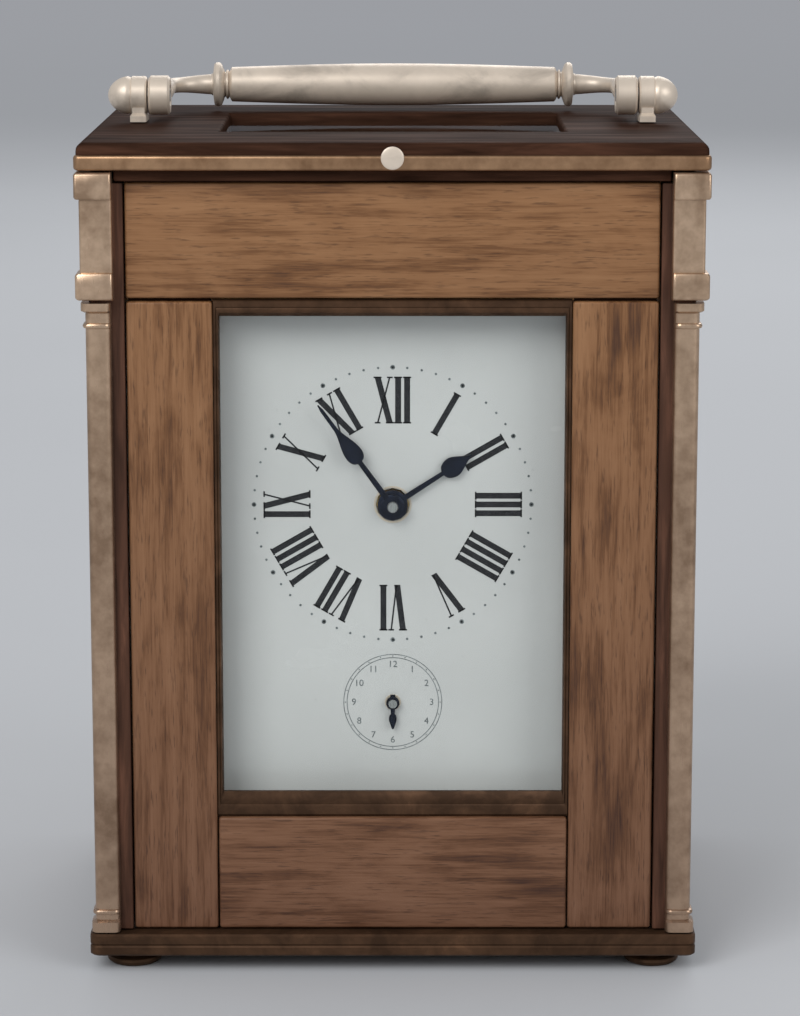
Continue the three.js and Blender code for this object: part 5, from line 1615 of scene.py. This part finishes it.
    def motion_work(self):
        """The minute wheel with its pinion, and the hour wheel on its pipe."""
        minute = axis_at("minute_wheel_turn")
        low = box("minute_wheel")[0]
        along = direction(self.centre, minute)
        reach = np.linalg.norm(minute - self.centre)
        module = 2 * reach / (MINUTE_PINION_LEAVES + HOUR_WHEEL_TEETH)
        start = box("front_plate")[0][1] - WHEEL_THICKNESS * 2.4
        meshing = facing_gap(MINUTE_WHEEL_TEETH, along)
        shells = [
            arbor("minute_wheel", minute),
            pinion(MINUTE_PINION_LEAVES, module, along + np.pi, minute, low[1], start),
            *wheel(MINUTE_WHEEL_TEETH, MOTION_MODULE, meshing, minute, start, ARBOR_RADIUS * 2),
        ]
        moving("minute_wheel", shells)
        low, high = box("hour_wheel")
        bore = ARBOR_RADIUS + BURY
        pipe = bore + WHEEL_THICKNESS * 0.7
        start = box("dial")[0][1] + WHEEL_THICKNESS * 1.8
        end = start + WHEEL_THICKNESS
        inner = HOUR_WHEEL_TEETH * module / 2 - DEDENDUM_SHARE * module - WHEEL_RIM
        meshing = facing_gap(HOUR_WHEEL_TEETH, along + np.pi)
        rings = toothed_rings(HOUR_WHEEL_TEETH, module, meshing, pipe - BURY, self.centre, start, end)
        shells = [
            flat_ring(bore, pipe, low[1], high[1], EDGE, self.centre, "Y", MIDDLE_STEPS),
            band(rings),
            flat_ring(pipe, inner / 2, start - BURY, end, BURY / 2, self.centre, "Y"),
        ]
        moving("hour_wheel", shells, ["wheel_brass"])


# The platform's plate and its screws, as height and radius, the feet on it, the staffs and the escape wheel
PLATFORM_THICKNESS = 0.0015
PLATFORM_CORNER = 0.002
SCREW_INSET = 0.003
PLATFORM_SCREW = (0.0008, 0.0014)
BRIDGE_SCREW = (0.0005, 0.0011)
SLOT_TURNS = 300
FOOT_LENGTH = 0.004
FOOT_CORNER = 0.0004
BRIDGE = {"thickness": 0.0012, "start": 0.0078, "half": 0.0025, "tip": 0.0014, "overhang": 0.0016}
STAFF_RADIUS = 0.0006
ESCAPE_RADIUS = 0.0045
ESCAPE_TEETH = 15
ESCAPE_DEPTH = 0.0012
ESCAPE_RIM = 0.0019
ESCAPE_THICKNESS = 0.0006
ESCAPE_HEIGHT = 0.0025
COLLET_RADIUS = 0.001
COLLET_HEIGHT = 0.0009
LEAF_HEIGHT = 0.0003
LEAVES = 8

# The lever's underside and top below its node's, with its outline in tenths of a millimetre, its stones, the
# balance's roller, the cock and the regulator
TENTH = 0.0001
LEVER_START = 0.0009
LEVER_END = 0.0003
STONE_OUT = 0.0004
STONE_BELOW = (0.0003, 0.0007, 0.0001)
STONE_ABOVE = (0.0003, 0.0007, 0.0006)
STONE_EDGE = 0.00008
ROLLER_DROP = 0.0008
ROLLER_HEIGHT = 0.0005
COCK_HEIGHT = 0.0083
COCK_THICKNESS = 0.0012
COCK_JEWEL = 0.0005
COCK_SCREW = (0.0006, 0.0012)
POINTER_START = 0.0015
POINTER_HALF = 0.0005
POINTER_POINT = 0.0004
REGULATOR_HOLE = 0.0009


def tapered_bar(x0, x1, y, narrow, wide, low, high):
    """A bar whose half width grows from one end to the other by the easing curve, with a round tip."""
    share = np.linspace(0, 1, 20)
    half = narrow + (wide - narrow) * smooth(share)
    x = x0 + narrow + (x1 - x0 - narrow) * share
    tip = np.linspace(-np.pi / 2, np.pi / 2, 9)[1:-1]
    across = np.concatenate([x, x[::-1], x0 + narrow - narrow * np.cos(tip)])
    along = np.concatenate([y - half, y + half[::-1], y - narrow * np.sin(tip)])
    return plate((across, along), low, high, "Z")


def foot(x, y, half, low, high, corner):
    """An upright foot with round corners."""
    return post([(x, x + FOOT_LENGTH, y - half, y + half, z, corner) for z in (low, high)])


def spiral(centre, inner, outer, turns, steps, height, axis):
    """A flat spiral: its radius grows evenly with the angle."""
    angle = np.linspace(0, 2 * np.pi * turns, int(turns * steps))
    return around(centre, inner + (outer - inner) * angle / angle[-1], angle, height, axis)


class CLOCK_OT_escapement(bpy.types.Operator):
    """Make the platform escapement: escape wheel, lever, balance with its spring, cock and regulator"""

    bl_idname = "clock.escapement"
    bl_label = "Platform escapement"

    balance_rim: length("Balance rim", "Width of the balance's rim", 0.0013)
    balance_height: length("Balance height", "From the platform's underside to the balance", 0.0061)
    balance_thickness: length("Balance thickness", "Thickness of the balance", 0.001)
    timing_screw: length("Timing screw", "Radius of a timing screw", 0.00035)
    arm_width: length("Arm width", "Width of the balance's arms, and radius of its roller", 0.0014)
    spring_turns: number("Spring turns", "Turns of the hairspring", 9.0)
    spring_wire: length("Spring wire", "Radius of the hairspring", 0.00006)
    spring_start: length("Spring start", "Radius at the hairspring's inner end", 0.0008)
    jewel_radius: length("Jewel", "Radius of a bearing stone", 0.0007)

    def execute(self, context):
        self.under = box("platform")[0][2]
        self.escape = axis_at("escape_wheel_turn", "Z")
        self.staff = axis_at("balance_swing", "Z")
        self.platform()
        self.escape_wheel()
        self.lever()
        self.balance()
        self.cock()
        self.regulator()
        return {"FINISHED"}

    def platform(self):
        """The platform's steel plate, the bridge over the escape wheel, and screws turned by their place."""
        low, high = box("platform")
        top = low[2] + PLATFORM_THICKNESS
        sections = []
        for inset, height in ((0, low[2]), (0, top - EDGE), (EDGE, top)):
            x = high[0] - inset
            sections.append((-x, x, low[1] + inset, high[1] - inset, height, PLATFORM_CORNER))
        bridge_low = high[2] - BRIDGE["thickness"]
        x, half = BRIDGE["start"], BRIDGE["half"]
        y = self.escape[1]
        end = x + FOOT_LENGTH
        shells = [
            post(sections),
            foot(x, y, half, top - EDGE, bridge_low + BURY, FOOT_CORNER),
            tapered_bar(-BRIDGE["overhang"], end, y, BRIDGE["tip"], half, bridge_low, high[2]),
        ]
        across = high[0] - SCREW_INSET
        for x in (-across, across):
            for along in (low[1] + SCREW_INSET, high[1] - SCREW_INSET):
                turn = along * SLOT_TURNS
                shells.append(screw_head((x, along), "Z", top - EDGE, *PLATFORM_SCREW, turn, 1))
        spot = (end - FOOT_LENGTH / 2, y)
        shells.append(screw_head(spot, "Z", high[2] - EDGE, *BRIDGE_SCREW, 0.7, 1))
        radius = self.jewel_radius
        for place, face in ((y, high[2]), ((y + self.staff[1]) / 2, top)):
            jewel = [(radius, face - BURY), (radius, face + BURY / 2), (radius * 0.6, face + BURY)]
            shells.append(turned(jewel, (0, place), "Z", FINE_STEPS, 2))
        instead("platform", "_plate", shells, ("bright_steel", "blued_metal", "ruby_jewel"))

    def escape_wheel(self):
        """Fifteen pointed teeth: the radius falls from tip to root by a saw wave round the wheel."""
        low, high = box("escape_wheel")
        angle = circle(ESCAPE_TEETH * 12)
        saw = (angle * ESCAPE_TEETH / (2 * np.pi)) % 1
        radius = ESCAPE_RADIUS - ESCAPE_DEPTH * smooth(saw * 1.15)
        start = self.under + ESCAPE_HEIGHT
        end = start + ESCAPE_THICKNESS
        rim = ESCAPE_RADIUS - ESCAPE_RIM
        collet_end = start + COLLET_HEIGHT
        leaf_angle = circle(LEAVES * 8)
        leaf = COLLET_RADIUS + LEAF_HEIGHT * smooth(0.4 + 1.2 * np.cos(LEAVES * leaf_angle))
        leaf_outline = around(self.escape, leaf, leaf_angle, 0, "Z")[:, :2].T
        pinion_end = self.under - WHEEL_THICKNESS
        wall = ((rim, start), (radius, start), (radius, end), (rim, end))
        shells = [
            band(rim_rings(wall, self.escape, angle, "Z")),
            rod(STAFF_RADIUS, self.escape, "Z", low[2], high[2], 1),
            rod(COLLET_RADIUS, self.escape, "Z", start - BURY, collet_end, 1),
            *spokes(CROSSING, self.escape, COLLET_RADIUS / 2, rim + BURY, STAFF_RADIUS, start, end, "Z"),
            plate(leaf_outline, low[2], pinion_end, "Z", EDGE / 2, 1),
        ]
        moving("escape_wheel", shells)

    def lever(self):
        """A slim lever with a fork and two pallet arms. Its right half is given as x, a base and how far y
        lies from it, in tenths of a millimetre."""
        low, high = box("pallet_lever")
        pivot = axis_at("pallet_lever_rock", "Z")[1]
        fork = low[1]
        span = high[0] / TENTH
        rows = [
            (3, fork, 9), (3, fork, 0), (7, fork, 0), (8, fork, 8), (4, fork, 16), (6, pivot, -6),
            (span, pivot, -2), (span, pivot, 5), (7, pivot, 8), (0, high[1], 0),
        ]
        right = np.array([(x * TENTH, base + y * TENTH) for x, base, y in rows])
        outline = np.concatenate([right, right[-2::-1] * (-1, 1)]).T
        start = high[2] - LEVER_START
        shells = [
            plate(outline, start, high[2] - LEVER_END, "Z", EDGE / 2),
            rod(STAFF_RADIUS, (0, pivot), "Z", low[2], high[2]),
        ]
        for side in (-1, 1):
            stone = np.array((side * high[0] * 0.86, pivot + STONE_OUT, start))
            shells.append(soft_block(stone - STONE_BELOW, stone + STONE_ABOVE, STONE_EDGE, 1))
        moving("pallet_lever", shells, ("bright_steel", "ruby_jewel"))

    def balance(self):
        """The balance: a rim with timing screws, two arms, a staff and roller, and the spiral hairspring."""
        body = "balance_wheel"
        low, high = box(body)
        outer = (high[0] - low[0]) / 2
        inner = outer - self.balance_rim
        start = self.under + self.balance_height
        end = start + self.balance_thickness
        rim_end = outer - self.timing_screw
        roller_end = start - ROLLER_DROP
        roller_start = roller_end - ROLLER_HEIGHT
        shells = [
            flat_ring(inner, rim_end, start, end, EDGE, self.staff, "Z"),
            rod(STAFF_RADIUS, self.staff, "Z", low[2], high[2], 1),
            rod(self.arm_width, self.staff, "Z", roller_start, roller_end, 1),
            *spokes((0, np.pi), self.staff, 0, inner + BURY, self.arm_width, start, end, "Z"),
        ]
        ends = np.array([inner + self.balance_rim * 0.6, outer])
        for turn in circle(16) + 0.2:
            path = around(self.staff, ends, turn, (start + end) / 2, "Z")
            shells.append(tube(path, self.timing_screw, (0, 0, 1), 10))
        piece("balance_cut", shells, BRASS_AND_STEEL, body, body)
        height = (end + high[2]) / 2
        path = spiral(self.staff, self.spring_start, inner * 0.62, self.spring_turns, 40, height, "Z")
        spring = tube(path, self.spring_wire, (0, 0, 1), 6)
        piece("hairspring", [spring], ["blued_metal"], body)

    def cock(self):
        """The cock: a foot and an arm that narrows to a round end over the staff, with its jewel."""
        low, high = box("balance_cock")
        y = self.staff[1]
        start = self.under + COCK_HEIGHT
        end = start + COCK_THICKNESS
        half = (high[1] - low[1]) / 2
        face = end - EDGE
        stone = COCK_JEWEL
        jewel = [(stone, high[2] - BURY), (stone, high[2] - EDGE), (stone * 0.6, high[2])]
        shells = [
            foot(low[0], y, half, low[2], start + BURY, COCK_JEWEL),
            tapered_bar(-high[0], -low[0], y, high[0], half, start, end).mirrored(LEFT),
            screw_head((low[0] + FOOT_LENGTH / 2, y), "Z", face, *COCK_SCREW, 0.5, 1),
            rod(STAFF_RADIUS, self.staff, "Z", end - BURY, high[2]),
            turned(jewel, self.staff, "Z", FINE_STEPS, 2),
        ]
        instead("balance_cock", "_cut", shells, ("bright_steel", "blued_metal", "ruby_jewel"))

    def regulator(self):
        """A blued ring round the stud, with a pointer."""
        low, high = box("regulator")
        base = self.staff[1] - POINTER_START
        wide = POINTER_HALF
        slim = wide * 0.4
        neck = low[1] + POINTER_POINT
        pointer = np.array([(-wide, base), (-slim, neck), (0, low[1]), (slim, neck), (wide, base)])
        shells = [
            flat_ring(REGULATOR_HOLE, high[0], low[2], high[2], EDGE, self.staff, "Z"),
            plate(pointer.T, low[2], high[2], "Z", EDGE / 2),
        ]
        moving("regulator", shells, ["blued_metal"])


class CLOCK_OT_gong(bpy.types.Operator):
    """Make the coiled gong with its block, and the hammer"""

    bl_idname = "clock.gong"
    bl_label = "Gong and hammer"

    inner_radius: length("Inner turn", "Radius at the inner end", 0.0205)
    pitch: length("Pitch", "From turn to turn", 0.0027)
    turns: number("Turns", "Turns of the wire", 2.5)
    wire: length("Wire", "Thickness of the wire", 0.0015)
    lift: length("Lift", "From the back plate to the wire", 0.0045)
    hammer_radius: length("Hammer", "Radius of the hammer's head", 0.0024)
    hammer_half: length("Hammer length", "Half the length of the hammer's head", 0.0017)
    pivot_radius: length("Pivot", "Radius of the hammer's pivot", 0.0016)
    arm_half: length("Arm", "Half width of the hammer's arm at its pivot", 0.0011)
    arm_tip: length("Arm tip", "Half width of the hammer's arm at its head", 0.0006)
    arm_thickness: length("Arm thickness", "Half thickness of the hammer's arm", 0.0008)

    def execute(self, context):
        """The coil's middle is halfway between its outermost turns, whose radii differ by half a pitch."""
        low, high = box("gong")
        y = box("back_plate")[1][1] + self.lift + self.wire / 2
        outer = self.inner_radius + self.pitch * self.turns
        block = self.wire * 8 / 3
        x = low[0] + block / 2
        z = (high[2] + low[2] - self.pitch / 2) / 2
        path = spiral((x + outer, z), self.inner_radius, outer, self.turns, 96, y, "Y")
        face = y + self.wire
        block_low = (low[0], low[1], z - block)
        block_high = (low[0] + block, face, z + block / 2)
        spot = (x, z - block / 4)
        shells = [
            tube(path, self.wire / 2, (0, 1, 0), 14), soft_block(block_low, block_high, BURY, 1),
            screw_head(spot, "Y", face - EDGE, BURY * 2, self.wire, 0.8, 1),
        ]
        instead("gong", "_coil", shells, ("gong_wire", "blued_metal"))
        self.hammer(y)
        return {"FINISHED"}

    def hammer(self, y):
        """The hammer: a flat tapering arm from its pivot to a turned head with rounded faces."""
        low, high = box("hammer")
        pivot = axis_at("hammer_lift")
        head = low[[0, 2]] + self.hammer_radius
        along = (head - pivot) / np.linalg.norm(head - pivot)
        side = np.array((-along[1], along[0]))
        wide = side * self.arm_half
        slim = side * self.arm_tip
        outline = np.array([pivot + wide, head + slim, head - slim, pivot - wide]).T
        half = self.hammer_half
        round_start = half - BURY * 1.5
        full = self.hammer_radius
        flat = full * 0.8
        profile = [(flat, y - half), (full, y - round_start), (full, y + round_start), (flat, y + half)]
        shells = [
            plate(outline, y - self.arm_thickness, y + self.arm_thickness, "Y"),
            turned(profile, head, "Y", MIDDLE_STEPS, 1),
            rod(self.pivot_radius, pivot, "Y", low[1], high[1], 0, MIDDLE_STEPS, BURY / 2),
        ]
        moving("hammer", shells, ("bright_steel", "wheel_brass"))


# The stage: the floor's inner rings, and each light's place, side and the setting with its power

FLOOR_RINGS = (0.02, 0.6, 4)
LIGHTS = {
    "key_light": ((-0.75, -1.15, 1.05), 0.9, "key_power"),
    "fill_light": ((1.05, -0.9, 0.65), 0.8, "fill_power"),
    "back_light": ((0.25, 1.3, 0.9), 0.9, "fill_power"),
}


class CLOCK_OT_stage(bpy.types.Operator):
    """Make the pale floor, the soft lights and the camera"""

    bl_idname = "clock.stage"
    bl_label = "Stage"

    floor_radius: length("Floor", "Radius of the floor", 30.0)
    fade_start: length("Fade start", "Where the floor's own paint starts to fade", 0.7)
    fade_end: length("Fade end", "Where only the backdrop's tone is left", 3.4)
    target_height: length("Target", "Height that the lights point at", 0.08)

    def execute(self, context):
        settings = context.scene.clock_stage
        self.floor(settings)
        self.world(context, settings)
        for name, (place, size, power) in LIGHTS.items():
            self.light(name, place, size, getattr(settings, power))
        self.camera(context, settings)
        context.scene.view_settings.view_transform = "Standard"
        return {"FINISHED"}

    def floor(self, settings):
        """A wide round floor, so far out that its edge meets the sky at the horizon."""
        radii = np.array([*FLOOR_RINGS, self.floor_radius])[:, None]
        rings = around((0, 0), radii, circle(96), 0, "Z")
        rows, columns = rings.shape[:2]
        faces = grid_quads(rows, columns, False).tolist()
        faces.append(list(range(columns)))
        mesh = bpy.data.meshes.new("floor")
        mesh.from_pydata(rings.reshape(-1, 3).tolist(), [], faces)
        mesh.materials.append(self.floor_paint(settings))
        mesh.update()
        thing = shown("floor", mesh)

    def floor_paint(self, settings):
        """Pale matt paint near the clock. With the distance it passes into the backdrop's own tone."""
        look = Finish("floor_paint")
        base = settings.floor_colour
        grain = look.noise(6, 3, 0.5)
        look.tones(grain, base, (0.3, 0.985), (0.7, 1))
        look.rough(grain, 0.75, 0.85)
        look.set(Specular_IOR_Level=0.2)
        distance = look.node("VectorMath", {0: look.place}, operation="LENGTH").outputs["Value"]
        reach = {"Value": distance, "From Min": self.fade_start, "From Max": self.fade_end}
        share = look.node("MapRange", reach, interpolation_type="SMOOTHSTEP")
        tone = look.node("Emission", {"Color": opaque(settings.backdrop_colour), "Strength": 1})
        look.show(share.outputs["Result"], look.shader.outputs[0], tone.outputs[0])
        return look.material

    def world(self, context, settings):
        """Even white light on the clock, and the backdrop's tone where the sky is seen or mirrored."""
        world = bpy.data.worlds.new("studio")
        world.use_nodes = True
        tree = world.node_tree
        lit = tree.nodes["Background"]
        lit.inputs["Color"].default_value = (0.96, 0.98, 1, 1)
        lit.inputs["Strength"].default_value = settings.sky
        seen = add_node(tree, "Background", {"Color": opaque(settings.backdrop_colour)})
        path = add_node(tree, "LightPath")
        share = path.outputs["Is Camera Ray"]
        for ray in ("Is Glossy Ray", "Is Transmission Ray"):
            share = reckon(tree, "MAXIMUM", share, path.outputs[ray])
        mixed = add_node(tree, "MixShader", {0: share, 1: lit.outputs[0], 2: seen.outputs[0]})
        tree.links.new(mixed.outputs[0], tree.nodes["World Output"].inputs["Surface"])
        context.scene.world = world

    def light(self, name, place, size, power):
        """A square soft light that points at the clock."""
        lamp = bpy.data.lights.new(name, "AREA")
        lamp.shape = "SQUARE"
        lamp.size = size
        lamp.energy = power
        thing = shown(name, lamp)
        thing.location = place
        thing.rotation_mode = "QUATERNION"
        target = Vector((0, 0, self.target_height))
        thing.rotation_quaternion = (target - Vector(place)).to_track_quat("-Z", "Y")

    def camera(self, context, settings):
        """The camera stands in front and looks a little down."""
        data = bpy.data.cameras.new("camera")
        data.lens = settings.lens
        data.sensor_width = 36
        data.clip_start = 0.01
        data.clip_end = 100
        thing = shown("camera", data)
        thing.location = (settings.camera_side, -settings.camera_distance, settings.camera_height)
        thing.rotation_euler = (np.pi / 2 - settings.camera_pitch, 0, 0)
        context.scene.camera = thing


OPERATORS = (
    CLOCK_OT_stage, CLOCK_OT_panels, CLOCK_OT_sides, CLOCK_OT_columns,
    CLOCK_OT_cornice, CLOCK_OT_base, CLOCK_OT_handle, CLOCK_OT_window,
    CLOCK_OT_rear_door, CLOCK_OT_button, CLOCK_OT_dial, CLOCK_OT_hands,
    CLOCK_OT_plates, CLOCK_OT_train, CLOCK_OT_escapement, CLOCK_OT_gong,
)

GROUPS = {
    "clock_case": ClockCase, "clock_dial": ClockDial, "clock_colours": ClockColours,
    "clock_stage": ClockStage,
}


class VIEW3D_PT_clock(bpy.types.Panel):
    """Lists the clock's pieces and its settings"""

    bl_label = "Carriage clock"
    bl_idname = "VIEW3D_PT_clock"
    bl_space_type = "VIEW_3D"
    bl_region_type = "UI"
    bl_category = "Clock"

    def draw(self, context):
        for operator in OPERATORS:
            self.layout.operator(operator.bl_idname)
        for name in GROUPS:
            settings = getattr(context.scene, name)
            group = self.layout.box()
            for field in settings.__annotations__:
                group.prop(settings, field)


def register():
    for kind in (*GROUPS.values(), *OPERATORS, VIEW3D_PT_clock):
        bpy.utils.register_class(kind)
    for name, group in GROUPS.items():
        setattr(bpy.types.Scene, name, PointerProperty(type=group))


def unregister():
    for name in GROUPS:
        delattr(bpy.types.Scene, name)
    for kind in (VIEW3D_PT_clock, *reversed(OPERATORS), *GROUPS.values()):
        bpy.utils.unregister_class(kind)


def main():
    register()
    for operator in OPERATORS:
        family, call = operator.bl_idname.split(".")
        getattr(getattr(bpy.ops, family), call)()


if __name__ == "__main__":
    main()
